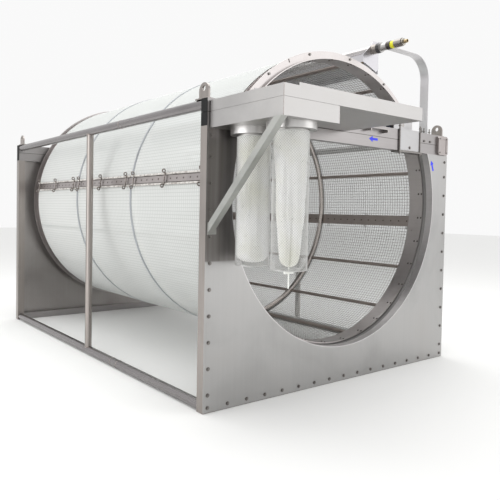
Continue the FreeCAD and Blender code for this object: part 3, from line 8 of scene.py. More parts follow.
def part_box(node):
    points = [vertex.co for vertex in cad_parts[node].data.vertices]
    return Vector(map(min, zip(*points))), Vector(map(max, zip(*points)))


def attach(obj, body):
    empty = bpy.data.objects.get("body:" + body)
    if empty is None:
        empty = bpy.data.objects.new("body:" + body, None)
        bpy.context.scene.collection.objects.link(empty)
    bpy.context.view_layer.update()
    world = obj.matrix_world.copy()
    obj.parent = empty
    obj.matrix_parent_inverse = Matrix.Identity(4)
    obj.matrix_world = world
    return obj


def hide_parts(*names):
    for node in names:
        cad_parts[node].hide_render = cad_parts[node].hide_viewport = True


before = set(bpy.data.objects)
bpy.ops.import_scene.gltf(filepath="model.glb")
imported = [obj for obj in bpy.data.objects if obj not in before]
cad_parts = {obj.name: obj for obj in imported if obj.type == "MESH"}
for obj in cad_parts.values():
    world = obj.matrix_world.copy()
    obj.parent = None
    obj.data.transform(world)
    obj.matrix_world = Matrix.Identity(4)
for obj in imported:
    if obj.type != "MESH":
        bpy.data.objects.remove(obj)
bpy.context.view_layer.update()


# The welded frame is stainless tube, pickled after welding, so it is a warm dull grey with
# faint drawing lines along each tube and darker stains near the joints.
def shader_group(name, inputs, outputs):
    group = bpy.data.node_groups.new(name, "ShaderNodeTree")
    for socket, kind, value in inputs:
        made = group.interface.new_socket(name=socket, in_out="INPUT", socket_type=kind)
        made.default_value = value
    for socket, kind in outputs:
        group.interface.new_socket(name=socket, in_out="OUTPUT", socket_type=kind)
    return group, group.nodes.new("NodeGroupInput"), group.nodes.new("NodeGroupOutput")


def add(tree, kind, **values):
    """A node with its properties set, and its inputs set by name or number."""
    node = tree.nodes.new(kind)
    for key, value in values.items():
        if key.startswith("in_"):
            socket = key[3:]
            target = node.inputs[int(socket)] if socket.isdigit() else node.inputs[socket.replace("_", " ")]
            target.default_value = value
        else:
            setattr(node, key, value)
    return node


mill, start, end = shader_group(
    "mill_marks",
    [
        ("Vector", "NodeSocketVector", (0.0, 0.0, 0.0)),
        ("Blotch size", "NodeSocketFloat", 2.0),
        ("Streak", "NodeSocketFloat", 0.4),
        ("Stain", "NodeSocketFloat", 0.5),
    ],
    [("Tone", "NodeSocketFloat"), ("Stain mask", "NodeSocketFloat"), ("Height", "NodeSocketFloat")],
)
lines = add(mill, "ShaderNodeTexNoise", in_Scale=1.0, in_Detail=6.0, in_Roughness=0.7)
blotch = add(mill, "ShaderNodeTexNoise", in_Detail=4.0, in_Roughness=0.55, in_Distortion=0.6)
speck = add(mill, "ShaderNodeTexNoise", in_Scale=220.0, in_Detail=2.0)
place = add(mill, "ShaderNodeTexCoord")
mill.links.new(start.outputs["Vector"], lines.inputs["Vector"])
mill.links.new(place.outputs["Object"], blotch.inputs["Vector"])
mill.links.new(place.outputs["Object"], speck.inputs["Vector"])
mill.links.new(start.outputs["Blotch size"], blotch.inputs["Scale"])
tone = add(mill, "ShaderNodeMix", data_type="FLOAT")
mill.links.new(start.outputs["Streak"], tone.inputs["Factor"])
mill.links.new(blotch.outputs["Fac"], tone.inputs["A"])
mill.links.new(lines.outputs["Fac"], tone.inputs["B"])
mill.links.new(tone.outputs["Result"], end.inputs["Tone"])
mask = add(mill, "ShaderNodeMapRange", in_1=0.52, in_2=0.78)
mill.links.new(blotch.outputs["Fac"], mask.inputs[0])
held = add(mill, "ShaderNodeMath", operation="MULTIPLY")
mill.links.new(mask.outputs[0], held.inputs[0])
mill.links.new(start.outputs["Stain"], held.inputs[1])
mill.links.new(held.outputs[0], end.inputs["Stain mask"])
fine = add(mill, "ShaderNodeMath", operation="MULTIPLY_ADD", in_1=0.35, in_2=0.0)
mill.links.new(speck.outputs["Fac"], fine.inputs[0])
mill.links.new(lines.outputs["Fac"], fine.inputs[2])
mill.links.new(fine.outputs[0], end.inputs["Height"])


def stainless(name, light, dark, stain, lines_along, rough=0.32, blotch_size=1.6, streak=0.35,
              stains=0.3, bump=0.06, fine=70.0):
    """Stainless steel with drawing or rolling lines along X, Y or Z, blotches and stains."""
    material = bpy.data.materials.new(name)
    material.use_nodes = True
    tree = material.node_tree
    shader = tree.nodes["Principled BSDF"]
    shader.inputs["Metallic"].default_value = 1.0
    where = add(tree, "ShaderNodeTexCoord")
    stretch = add(tree, "ShaderNodeMapping")
    stretch.inputs["Scale"].default_value = [fine / 40 if axis == lines_along else fine for axis in "XYZ"]
    marks = add(tree, "ShaderNodeGroup", node_tree=mill)
    marks.inputs["Blotch size"].default_value = blotch_size
    marks.inputs["Streak"].default_value = streak
    marks.inputs["Stain"].default_value = stains
    tree.links.new(where.outputs["Object"], stretch.inputs["Vector"])
    tree.links.new(stretch.outputs["Vector"], marks.inputs["Vector"])
    colour = add(tree, "ShaderNodeMix", data_type="RGBA")
    colour.inputs["A"].default_value = (*dark, 1.0)
    colour.inputs["B"].default_value = (*light, 1.0)
    reach = add(tree, "ShaderNodeMapRange", in_1=0.3, in_2=0.7)
    tree.links.new(marks.outputs["Tone"], reach.inputs[0])
    tree.links.new(reach.outputs[0], colour.inputs["Factor"])
    stained = add(tree, "ShaderNodeMix", data_type="RGBA")
    stained.inputs["B"].default_value = (*stain, 1.0)
    tree.links.new(colour.outputs["Result"], stained.inputs["A"])
    tree.links.new(marks.outputs["Stain mask"], stained.inputs["Factor"])
    tree.links.new(stained.outputs["Result"], shader.inputs["Base Color"])
    roughness = add(tree, "ShaderNodeMapRange", in_1=0.3, in_2=0.7, in_3=rough - 0.05, in_4=rough + 0.07)
    tree.links.new(marks.outputs["Tone"], roughness.inputs[0])
    tree.links.new(roughness.outputs[0], shader.inputs["Roughness"])
    relief = add(tree, "ShaderNodeBump", in_Strength=bump, in_Distance=0.0006)
    tree.links.new(marks.outputs["Height"], relief.inputs["Height"])
    tree.links.new(relief.outputs["Normal"], shader.inputs["Normal"])
    return material


def dress(material, *names):
    """Gives CAD nodes a finish; round ones are shaded smoothly between their sharp edges."""
    for name in names:
        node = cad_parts[name]
        node.data.materials.clear()
        node.data.materials.append(material)
        node.data.polygons.foreach_set("use_smooth", [True] * len(node.data.polygons))
        joined = node.modifiers.new("joined", "WELD")
        joined.merge_threshold = 0.00002
        creased = node.modifiers.new("creased", "EDGE_SPLIT")
        creased.split_angle = math.radians(32)


def shade_between(material, axis, low, high, soft, colour):
    """Mixes a colour in where an object coordinate lies between two values."""
    tree = material.node_tree
    shader = tree.nodes["Principled BSDF"]
    where = add(tree, "ShaderNodeTexCoord")
    apart = add(tree, "ShaderNodeSeparateXYZ")
    tree.links.new(where.outputs["Object"], apart.inputs[0])
    rising = add(tree, "ShaderNodeMapRange", in_1=low - soft, in_2=low + soft)
    falling = add(tree, "ShaderNodeMapRange", in_1=high + soft, in_2=high - soft)
    both = add(tree, "ShaderNodeMath", operation="MULTIPLY")
    for number, edge in enumerate((rising, falling)):
        tree.links.new(apart.outputs[axis], edge.inputs[0])
        tree.links.new(edge.outputs[0], both.inputs[number])
    shaded = add(tree, "ShaderNodeMix", data_type="RGBA")
    shaded.inputs["B"].default_value = (*colour, 1.0)
    tree.links.new(both.outputs[0], shaded.inputs["Factor"])
    tree.links.new(shader.inputs["Base Color"].links[0].from_socket, shaded.inputs["A"])
    tree.links.new(shaded.outputs["Result"], shader.inputs["Base Color"])


post_steel = stainless("post_steel", (0.40, 0.365, 0.345), (0.27, 0.245, 0.23), (0.20, 0.17, 0.14), "Z")
# The side rails take a darker copy of the frame steel: painted reflection of the dark floor seen in them.
rail_steel = stainless("rail_steel", (0.31, 0.29, 0.295), (0.20, 0.19, 0.19), (0.14, 0.15, 0.135), "Y", rough=0.24)
beam_steel = stainless("beam_steel", (0.36, 0.345, 0.345), (0.28, 0.265, 0.26), (0.21, 0.19, 0.18), "X")
# A painted shadow line runs along the gap between the two stacked tubes of each top beam.
beam_middle = (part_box("beam_tubes")[0].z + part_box("beam_tubes")[1].z) / 2
shade_between(beam_steel, "Z", beam_middle - 0.0016, beam_middle + 0.0016, 0.0006, (0.05, 0.045, 0.04))
dress(post_steel, "corner_posts", "mid_posts", "lifting_lugs")
dress(rail_steel, "top_side_rails", "bottom_side_rails")
dress(beam_steel, "beam_tubes", "sills")


# Weld beads: a low rippled ring where each mid post meets a rail and where each rail was joined from two lengths.
def finished(name, bm, material, body, slot, *replaced):
    """Turns a bmesh into a piece that rides on a body and may stand for CAD nodes."""
    mesh = bpy.data.meshes.new(name)
    bm.to_mesh(mesh)
    bm.free()
    mesh.materials.append(material)
    piece = bpy.data.objects.new(name, mesh)
    bpy.context.scene.collection.objects.link(piece)
    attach(piece, body)
    if replaced:
        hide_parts(*replaced)
    return piece


def smooth(bm):
    for face in bm.faces:
        face.smooth = True


def ring(bm, radius, thickness, centre, axis, sides=6, steps=48):
    """A closed round ring about an axis, swept from a small circle."""
    axis = Vector(axis)
    out = axis.orthogonal().normalized()
    made = bmesh.ops.create_circle(bm, segments=sides, radius=thickness)
    lay = Matrix((out, axis, out.cross(axis))).transposed().to_4x4()
    bmesh.ops.transform(bm, matrix=Matrix.Translation(Vector(centre) + out * radius) @ lay, verts=made["verts"])
    edges = list({edge for vert in made["verts"] for edge in vert.link_edges})
    before = set(bm.verts) - set(made["verts"])
    bmesh.ops.spin(bm, geom=made["verts"] + edges, cent=centre, axis=axis, dvec=(0, 0, 0),
                   angle=2 * math.pi, steps=steps, use_merge=True)
    return [vert for vert in bm.verts if vert not in before]


def bar(bm, radius, low, high, sides=12, ends=True):
    """A round bar between two points."""
    low, high = Vector(low), Vector(high)
    run = high - low
    turn = run.to_track_quat("Z", "Y").to_matrix().to_4x4()
    return bmesh.ops.create_cone(
        bm, cap_ends=ends, segments=sides, radius1=radius, radius2=radius, depth=run.length,
        matrix=Matrix.Translation((low + high) / 2) @ turn)["verts"]


weld_steel = stainless("weld_steel", (0.48, 0.43, 0.39), (0.26, 0.21, 0.20), (0.17, 0.14, 0.19), "X",
                       rough=0.3, blotch_size=60.0, stains=0.7, bump=0.4)
post_low, post_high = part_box("mid_posts")
rail_low, rail_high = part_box("top_side_rails")
rail_radius = (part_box("bottom_side_rails")[1].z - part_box("bottom_side_rails")[0].z) / 2
rail_x = rail_high.x - rail_radius
post_y = (post_low.y + post_high.y) / 2
welds = bmesh.new()
for side in (-1, 1):
    for height in (rail_high.z - rail_radius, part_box("bottom_side_rails")[0].z + rail_radius):
        for joint in (0.32, 0.35):
            y = rail_low.y + (rail_high.y - rail_low.y) * joint
            if joint == 0.32 or height < 1:
                ring(welds, rail_radius, 0.0018, (side * rail_x, y, height), (0, 1, 0))
        inward = -1 if height > 1 else 1
        ring(welds, (post_high.y - post_low.y) / 2, 0.0028,
             (side * rail_x, post_y, height + inward * (rail_radius - 0.004)), (0, 0, 1))
for vert in welds.verts:
    vert.co += noise.noise_vector(vert.co * 320) * 0.0007
smooth(welds)
finished("weld_beads", welds, weld_steel, "frame", "frame_steel")


# The top beams' ends and the gear's end are closed with black moulded plugs with a ribbed rim.
def moulded(name, colour, rough=0.45, grain=900.0, sheen=0.04, gloss=0.5):
    """Moulded plastic or rubber with a fine grain and slight wear."""
    material = bpy.data.materials.new(name)
    material.use_nodes = True
    tree = material.node_tree
    shader = tree.nodes["Principled BSDF"]
    where = add(tree, "ShaderNodeTexCoord")
    rub = add(tree, "ShaderNodeTexNoise", in_Scale=14.0, in_Detail=5.0)
    skin = add(tree, "ShaderNodeTexVoronoi", in_Scale=grain)
    for texture in (rub, skin):
        tree.links.new(where.outputs["Object"], texture.inputs["Vector"])
    worn = add(tree, "ShaderNodeMix", data_type="RGBA")
    worn.inputs["A"].default_value = (*colour, 1.0)
    worn.inputs["B"].default_value = (*[min(1.0, part * 1.35 + 0.006) for part in colour], 1.0)
    tree.links.new(rub.outputs["Fac"], worn.inputs["Factor"])
    tree.links.new(worn.outputs["Result"], shader.inputs["Base Color"])
    roughness = add(tree, "ShaderNodeMapRange", in_3=rough - 0.08, in_4=rough + 0.14)
    tree.links.new(rub.outputs["Fac"], roughness.inputs[0])
    tree.links.new(roughness.outputs[0], shader.inputs["Roughness"])
    relief = add(tree, "ShaderNodeBump", in_Strength=0.25, in_Distance=0.0002)
    tree.links.new(skin.outputs["Distance"], relief.inputs["Height"])
    tree.links.new(relief.outputs["Normal"], shader.inputs["Normal"])
    shader.inputs["Coat Weight"].default_value = sheen
    shader.inputs["Specular IOR Level"].default_value = gloss
    return material


black_moulding = moulded("black_moulding", (0.004, 0.004, 0.0045), rough=0.55, sheen=0.0, gloss=0.2)
caps = bmesh.new()
cap_low, cap_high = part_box("beam_end_caps")
beam_low, beam_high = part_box("beam_tubes")
cap_thick = cap_high.x - beam_high.x
beam_deep = 2 * -beam_low.y
for side in (-1, 1):
    for y in (beam_low.y + beam_deep / 2, beam_high.y - beam_deep / 2):
        for level in (0.25, 0.75):
            size = Vector((cap_thick, beam_deep, (beam_high.z - beam_low.z) / 2 - 0.002))
            middle = Vector((side * (beam_high.x + cap_thick / 2), y,
                             beam_low.z + (beam_high.z - beam_low.z) * level))
            cap = bmesh.ops.create_cube(caps, matrix=Matrix.Translation(middle) @ Matrix.Diagonal((*size, 1)))
            outer = [f for v in cap["verts"] for f in v.link_faces if f.normal.x * side > 0.5]
            outer = list(set(outer))
            bmesh.ops.inset_region(caps, faces=outer, thickness=0.006, depth=-0.0015)
            edges = list({e for v in cap["verts"] for e in v.link_edges})
            bmesh.ops.bevel(caps, geom=edges, offset=0.0012, segments=2, affect="EDGES", profile=0.5, material=-1)
finished("end_plugs", caps, black_moulding, "frame", "black_plastic", "beam_end_caps")


# Front and rear sheets: 3 mm stainless with a long brushed grain and hazy pickling clouds, held to the posts and
# sills by rows of bolts on washers. Behind the filter bags the front sheet is darkened by a painted reflection of the
# bags' shaded backs and the shade under the bag box, in soft vertical streaks, down to a straight edge level with the
# bottom of the bags.
plate_low, plate_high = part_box("front_plate")
rear_low, rear_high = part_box("rear_plate")
bag_low, bag_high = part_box("left_bag")
sheet_steel = stainless("sheet_steel", (0.46, 0.455, 0.45), (0.35, 0.345, 0.34), (0.30, 0.28, 0.265), "Z",
                        rough=0.33, blotch_size=1.7, streak=0.18, stains=0.35, bump=0.03, fine=45.0)
# The rear sheet takes a darker copy of the sheet's colours: painted shade for its face inside the frame.
inner_sheet_steel = stainless("inner_sheet_steel", (0.40, 0.38, 0.37), (0.28, 0.26, 0.25), (0.22, 0.19, 0.175), "Z",
                              rough=0.33, blotch_size=1.5, streak=0.2, stains=0.4, fine=45.0)
dress(inner_sheet_steel, "rear_plate")
tree = sheet_steel.node_tree
shader = tree.nodes["Principled BSDF"]
where = add(tree, "ShaderNodeTexCoord")
apart = add(tree, "ShaderNodeSeparateXYZ")
tree.links.new(where.outputs["Object"], apart.inputs[0])
# Painted reflection and shade: behind the bags the front sheet is darkened in soft vertical streaks, down to a
# straight edge level with the bags' foot.
beside = add(tree, "ShaderNodeMapRange", in_1=-0.86, in_2=-0.90)
above = add(tree, "ShaderNodeMapRange", in_1=bag_low.z - 0.006, in_2=bag_low.z + 0.004)
tree.links.new(apart.outputs["X"], beside.inputs[0])
tree.links.new(apart.outputs["Z"], above.inputs[0])
waves = add(tree, "ShaderNodeMapping")
waves.inputs["Scale"].default_value = (26.0, 1.0, 0.5)
folds = add(tree, "ShaderNodeTexNoise", in_Scale=1.0, in_Detail=2.0)
tree.links.new(where.outputs["Object"], waves.inputs["Vector"])
tree.links.new(waves.outputs["Vector"], folds.inputs["Vector"])
dulled = add(tree, "ShaderNodeMapRange", in_1=0.3, in_2=0.7, in_3=1.0, in_4=0.6)
tree.links.new(folds.outputs["Fac"], dulled.inputs[0])
patch = add(tree, "ShaderNodeMath", operation="MULTIPLY")
tree.links.new(beside.outputs[0], patch.inputs[0])
tree.links.new(above.outputs[0], patch.inputs[1])
strength = add(tree, "ShaderNodeMath", operation="MULTIPLY")
tree.links.new(patch.outputs[0], strength.inputs[0])
tree.links.new(dulled.outputs[0], strength.inputs[1])
duller = add(tree, "ShaderNodeMix", data_type="RGBA")
duller.inputs["B"].default_value = (0.19, 0.175, 0.168, 1.0)
tree.links.new(strength.outputs[0], duller.inputs["Factor"])
tree.links.new(shader.inputs["Base Color"].links[0].from_socket, duller.inputs["A"])
tree.links.new(duller.outputs["Result"], shader.inputs["Base Color"])
dress(sheet_steel, "front_plate")
bolt_steel = stainless("bolt_steel", (0.30, 0.285, 0.27), (0.13, 0.12, 0.115), (0.07, 0.06, 0.055), "Y",
                       rough=0.3, blotch_size=40.0, bump=0.1)
bolt_low, bolt_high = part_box("plate_bolts")
head_radius = 0.0085
spots = []
columns = sorted({round((bolt_low.x + head_radius) * side, 5) for side in (-1, 1)})
across = 16
upward = 11
foot = bolt_low.z + head_radius * math.cos(math.pi / 6)
crest = bolt_high.z - head_radius * math.cos(math.pi / 6)
low_rise, top_drop = 0.074, 0.033
pitch = (crest + top_drop - foot - low_rise) / (upward - 1)
for step in range(across + 1):
    spots.append((columns[0] + (columns[1] - columns[0]) * step / across, foot))
for x in columns:
    spots += [(x, foot + low_rise + step * pitch) for step in range(upward - 1)]
    spots.append((x, crest))
plate_bolts = bmesh.new()
for x, z in spots:
    for face_y, out in ((plate_low.y, -1), (rear_high.y, 1)):
        turn = Matrix.Rotation(math.pi / 2, 4, "X")
        at = Matrix.Translation((x, face_y + out * 0.0008, z)) @ turn
        bmesh.ops.create_cone(plate_bolts, cap_ends=True, segments=20, radius1=0.0125, radius2=0.0125,
                              depth=0.0016, matrix=at)
        at = Matrix.Translation((x, face_y + out * 0.0046, z)) @ turn @ Matrix.Rotation(x * 37 + z * 11, 4, "Z")
        head = bmesh.ops.create_cone(plate_bolts, cap_ends=True, segments=6, radius1=head_radius,
                                     radius2=head_radius, depth=0.006, matrix=at)
        edges = [e for e in {e for v in head["verts"] for e in v.link_edges}
                 if all(abs(v.co.y - face_y) > 0.005 for v in e.verts)]
        bmesh.ops.bevel(plate_bolts, geom=edges, offset=0.001, segments=1, affect="EDGES", profile=0.5, material=-1)
finished("sheet_bolts", plate_bolts, bolt_steel, "frame", "bolt_steel", "plate_bolts")


# The mouth of each sheet carries a rolled collar, and on it a grey rubber lip that wipes the
# drum's flange.
collar_steel = stainless("collar_steel", (0.66, 0.645, 0.65), (0.52, 0.50, 0.50), (0.38, 0.35, 0.34), "Y",
                         blotch_size=5.0)
lip_rubber = moulded("lip_rubber", (0.20, 0.195, 0.19), rough=0.5)
dress(collar_steel, "plate_collars")
dress(lip_rubber, "drum_seals")


# Drum end rings: rolled channel with an outside flange and a lip in front of it, brown-grey from
# pickling, with bolts round the flange, two rows of dome heads inside and a splice plate.
drum_steel = stainless("drum_steel", (0.60, 0.57, 0.565), (0.46, 0.43, 0.42), (0.32, 0.28, 0.26), "Y",
                       blotch_size=4.0)
hoop_steel = stainless("hoop_steel", (0.56, 0.52, 0.49), (0.36, 0.33, 0.31), (0.26, 0.22, 0.20), "Y",
                       rough=0.2, blotch_size=8.0, stains=0.4)
stringer_steel = stainless("stringer_steel", (0.48, 0.42, 0.39), (0.34, 0.295, 0.27), (0.22, 0.18, 0.16), "Y",
                           rough=0.34, blotch_size=5.0)
dress(drum_steel, "drum_rings", "ring_lips", "ring_splices", "drum_end_disc")
dress(stringer_steel, "drum_stringers")
dress(bolt_steel, "ring_bolts")
ring_low, ring_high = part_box("drum_rings")
axis_height = (ring_low.z + ring_high.z) / 2
rivet_steel = stainless("rivet_steel", (0.16, 0.145, 0.135), (0.09, 0.08, 0.075), (0.05, 0.045, 0.04), "Y",
                        rough=0.36, blotch_size=60.0)
rim_low, rim_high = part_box("rim_bolts")
rim_radius = 1.0
domes = bmesh.new()
dome_rows = [rim_low.y + 0.007, rim_low.y + 0.036, rim_high.y - 0.036, rim_high.y - 0.007]
seam_angle = math.radians(-7.5)
for y in dome_rows:
    for count in range(32):
        angle = seam_angle + math.radians(1.5) + count * math.tau / 32
        centre = Vector((math.cos(angle), 0, math.sin(angle))) * (rim_radius - 0.0002)
        at = Matrix.Translation((centre.x, y, axis_height + centre.z))
        flat = Matrix.Rotation(-angle, 4, "Y") @ Matrix.Diagonal((0.65, 1, 1, 1))
        bmesh.ops.create_uvsphere(domes, u_segments=10, v_segments=6, radius=0.0078, matrix=at @ flat)
smooth(domes)
finished("rim_domes", domes, rivet_steel, "drum", "bolt_steel", "rim_bolts")


# Two hoops rolled from round tube stiffen the drum between its rings. They are polished by
# handling, and each is closed by a butt weld.
hoop_low, hoop_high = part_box("drum_hoops")
tube_radius = 0.0212
hoop_line = (hoop_high.x - hoop_low.x) / 2 - tube_radius
hoops = bmesh.new()
for y in (hoop_low.y + tube_radius, hoop_high.y - tube_radius):
    ring(hoops, hoop_line, tube_radius, (0, y, axis_height), (0, 1, 0), sides=20, steps=144)
    joint = (hoop_line * math.cos(2.2), y, axis_height + hoop_line * math.sin(2.2))
    ring(hoops, tube_radius, 0.0016, joint, (-math.sin(2.2), 0, math.cos(2.2)), steps=24)
smooth(hoops)
finished("hoop_tubes", hoops, hoop_steel, "drum", "drum_steel", "drum_hoops")


# The support mesh under the cloth is a 25 mm grid of stainless wires rolled a little flat, the
# round ones lying outside the long ones and spot-welded to them.
wire_steel = stainless("wire_steel", (0.28, 0.265, 0.245), (0.19, 0.175, 0.16), (0.13, 0.115, 0.10), "Y",
                       rough=0.4, blotch_size=9.0, bump=0.04)
mesh_low, mesh_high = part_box("support_mesh")
mesh_radius = (mesh_high.x - mesh_low.x) / 2 - 0.0016
wire = 0.0014
long_wires = bmesh.new()
long_count = 260
first = bar(long_wires, wire, (mesh_radius - 0.0012, mesh_low.y, axis_height),
            (mesh_radius - 0.0012, mesh_high.y, axis_height), sides=4)
geometry = first + list({e for v in first for e in v.link_edges}) + list({f for v in first for f in v.link_faces})
bmesh.ops.spin(long_wires, geom=geometry, cent=(0, 0, axis_height), axis=(0, 1, 0), dvec=(0, 0, 0),
               angle=math.tau * (long_count - 1) / long_count, steps=long_count - 1,
               use_merge=False, use_duplicate=True)
bmesh.ops.recalc_face_normals(long_wires, faces=long_wires.faces)
round_count = 125
round_pitch = (mesh_high.y - mesh_low.y - 0.004) / (round_count - 1)
round_wires = bmesh.new()
ring(round_wires, mesh_radius + 0.0004, wire, (0, mesh_low.y + 0.002, axis_height), (0, 1, 0), sides=3, steps=130)
smooth(round_wires)
round_piece = finished("mesh_round_wires", round_wires, wire_steel, "drum", "mesh_wire")
copies = round_piece.modifiers.new("rows", "ARRAY")
copies.use_relative_offset = False
copies.use_constant_offset = True
copies.constant_offset_displace = (0, round_pitch, 0)
copies.count = round_count
finished("mesh_long_wires", long_wires, wire_steel, "drum", "mesh_wire", "support_mesh")


# The screen cloth is a fine white polymer weave, pulled tight over the mesh in half-round pieces. Light comes through
# it, so the mesh and the tubes behind it show as faint bars, and the mesh's wires are also painted on it as faint
# shadow lines.
cloth_white = bpy.data.materials.new("cloth_white")
cloth_white.use_nodes = True
tree = cloth_white.node_tree
shader = tree.nodes["Principled BSDF"]
where = add(tree, "ShaderNodeUVMap", uv_map="weave")
threads = add(tree, "ShaderNodeTexWave", bands_direction="X", in_Scale=160.0, in_Distortion=0.3)
picks = add(tree, "ShaderNodeTexWave", bands_direction="Y", in_Scale=160.0, in_Distortion=0.3)
woven = add(tree, "ShaderNodeMath", operation="MAXIMUM")
clouds = add(tree, "ShaderNodeTexNoise", in_Scale=1.4, in_Detail=3.0)
for texture in (threads, picks, clouds):
    tree.links.new(where.outputs["UV"], texture.inputs["Vector"])
tree.links.new(threads.outputs["Fac"], woven.inputs[0])
tree.links.new(picks.outputs["Fac"], woven.inputs[1])
dye = add(tree, "ShaderNodeMix", data_type="RGBA")
dye.inputs["A"].default_value = (0.83, 0.86, 0.835, 1.0)
dye.inputs["B"].default_value = (0.89, 0.91, 0.90, 1.0)
tree.links.new(clouds.outputs["Fac"], dye.inputs["Factor"])
# Painted shadows of the mesh's wires, 25 mm apart, lie on the cloth as faint darker lines both ways.
wire_lines = add(tree, "ShaderNodeMath", operation="MAXIMUM")
for number, direction in enumerate("XY"):
    pressed = add(tree, "ShaderNodeTexWave", bands_direction=direction, in_Scale=12.57)
    line_edge = add(tree, "ShaderNodeMapRange", in_1=0.82, in_2=1.0)
    tree.links.new(where.outputs["UV"], pressed.inputs["Vector"])
    tree.links.new(pressed.outputs["Fac"], line_edge.inputs[0])
    tree.links.new(line_edge.outputs[0], wire_lines.inputs[number])
lined = add(tree, "ShaderNodeMix", data_type="RGBA")
lined.inputs["B"].default_value = (0.66, 0.69, 0.67, 1.0)
tree.links.new(wire_lines.outputs[0], lined.inputs["Factor"])
tree.links.new(dye.outputs["Result"], lined.inputs["A"])
tree.links.new(lined.outputs["Result"], shader.inputs["Base Color"])
relief = add(tree, "ShaderNodeBump", in_Strength=0.15, in_Distance=0.0004)
tree.links.new(woven.outputs[0], relief.inputs["Height"])
tree.links.new(relief.outputs["Normal"], shader.inputs["Normal"])
shader.inputs["Roughness"].default_value = 0.75
shader.inputs["Alpha"].default_value = 0.60
shader.inputs["Sheen Weight"].default_value = 0.15
cloth_low, cloth_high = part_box("screen_cloth")
cloth_radius = (cloth_high.x - cloth_low.x) / 2 - 0.0005
band_low, band_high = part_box("cloth_bands")
band_width = 0.024
edges_y = [cloth_low.y, band_low.y + band_width / 2, band_high.y - band_width / 2, cloth_high.y]
seam_gap = 0.034
half = math.pi - 2 * seam_gap / cloth_radius
cloth_pieces = []
for section in range(3):
    low_y, high_y = edges_y[section] + 0.001, edges_y[section + 1] - 0.001
    for seam in range(2):
        cloth = bmesh.new()
        begin = seam_angle + seam * math.pi + seam_gap / cloth_radius
        edge = bmesh.ops.create_vert(cloth, co=(cloth_radius, low_y, axis_height))["vert"]
        far = bmesh.ops.create_vert(cloth, co=(cloth_radius, high_y, axis_height))["vert"]
        strip = cloth.edges.new((edge[0], far[0]))
        bmesh.ops.subdivide_edges(cloth, edges=[strip], cuts=15)
        bmesh.ops.rotate(cloth, verts=cloth.verts, cent=(0, 0, axis_height), matrix=Matrix.Rotation(-begin, 3, "Y"))
        bmesh.ops.spin(cloth, geom=cloth.verts[:] + cloth.edges[:], cent=(0, 0, axis_height), axis=(0, 1, 0),
                       dvec=(0, 0, 0), angle=-half, steps=72, use_merge=False)
        weave = cloth.loops.layers.uv.new("weave")
        for face in cloth.faces:
            face.smooth = True
            for loop in face.loops:
                co = loop.vert.co
                turn = math.atan2(co.z - axis_height, co.x) - begin
                loop[weave].uv = ((turn % math.tau) * cloth_radius, co.y)
        bmesh.ops.recalc_face_normals(cloth, faces=cloth.faces)
        cloth.faces.ensure_lookup_table()
        probe = cloth.faces[0]
        outward = probe.calc_center_median() - Vector((0, probe.calc_center_median().y, axis_height))
        if probe.normal.dot(outward) < 0:
            bmesh.ops.reverse_faces(cloth, faces=cloth.faces)
        replaced = ["screen_cloth"] if not cloth_pieces else []
        piece = finished(f"cloth_{section + 1}_{seam + 1}", cloth, cloth_white, "drum", "screen_cloth", *replaced)
        cloth_pieces.append(piece)


# Along both seams the cloth's edges are hemmed round rods and clamped under a narrow riveted
# plate, with the same rivets through the strip inside the mesh.
seam_steel = stainless("seam_steel", (0.46, 0.42, 0.41), (0.33, 0.30, 0.295), (0.22, 0.19, 0.18), "Y",
                       blotch_size=9.0)
strip_steel = stainless("strip_steel", (0.46, 0.41, 0.385), (0.34, 0.30, 0.28), (0.24, 0.20, 0.18), "Y",
                        blotch_size=6.0)
dress(seam_steel, "seam_plates")
dress(strip_steel, "seam_strips")
plate_face = 1.051
strip_face = 1.032
rivet_pitch = 0.083
rivets = bmesh.new()
rivet_y = edges_y[0] + rivet_pitch / 2
while rivet_y < edges_y[3]:
    for seam in (seam_angle, seam_angle + math.pi):
        if min(abs(rivet_y - edge) for edge in edges_y) > 0.024:
            for face in (plate_face, strip_face):
                centre = Vector((math.cos(seam), 0, math.sin(seam))) * face
                at = Matrix.Translation((centre.x, rivet_y, axis_height + centre.z))
                flat = Matrix.Rotation(-seam, 4, "Y") @ Matrix.Diagonal((0.45, 1, 1, 1))
                bmesh.ops.create_uvsphere(rivets, u_segments=8, v_segments=5, radius=0.0068,
                                          matrix=at @ flat)
    rivet_y += rivet_pitch
smooth(rivets)
finished("seam_rivets", rivets, rivet_steel, "drum", "bolt_steel")


# The hems themselves are a doubled strip of the cloth round each rod, puckered where the hook
# bolts and stitches pull it.
hem_cloth = bpy.data.materials.new("hem_cloth")
hem_cloth.use_nodes = True
tree = hem_cloth.node_tree
shader = tree.nodes["Principled BSDF"]
shader.inputs["Roughness"].default_value = 0.7
where = add(tree, "ShaderNodeTexCoord")
soil = add(tree, "ShaderNodeTexNoise", in_Scale=34.0, in_Detail=4.0)
stitch = add(tree, "ShaderNodeTexWave", bands_direction="Y", in_Scale=32.0, in_Distortion=1.0)
for texture in (soil, stitch):
    tree.links.new(where.outputs["Object"], texture.inputs["Vector"])
soiled = add(tree, "ShaderNodeMix", data_type="RGBA")
soiled.inputs["A"].default_value = (0.62, 0.60, 0.57, 1.0)
soiled.inputs["B"].default_value = (0.30, 0.27, 0.25, 1.0)
soil_share = add(tree, "ShaderNodeMapRange", in_1=0.42, in_2=0.66)
tree.links.new(soil.outputs["Fac"], soil_share.inputs[0])
tree.links.new(soil_share.outputs[0], soiled.inputs["Factor"])
tree.links.new(soiled.outputs["Result"], shader.inputs["Base Color"])
relief = add(tree, "ShaderNodeBump", in_Strength=0.4, in_Distance=0.001)
tree.links.new(stitch.outputs["Fac"], relief.inputs["Height"])
tree.links.new(relief.outputs["Normal"], shader.inputs["Normal"])
hem_reach = 0.035
hem_line = 1.0525
hems = bmesh.new()
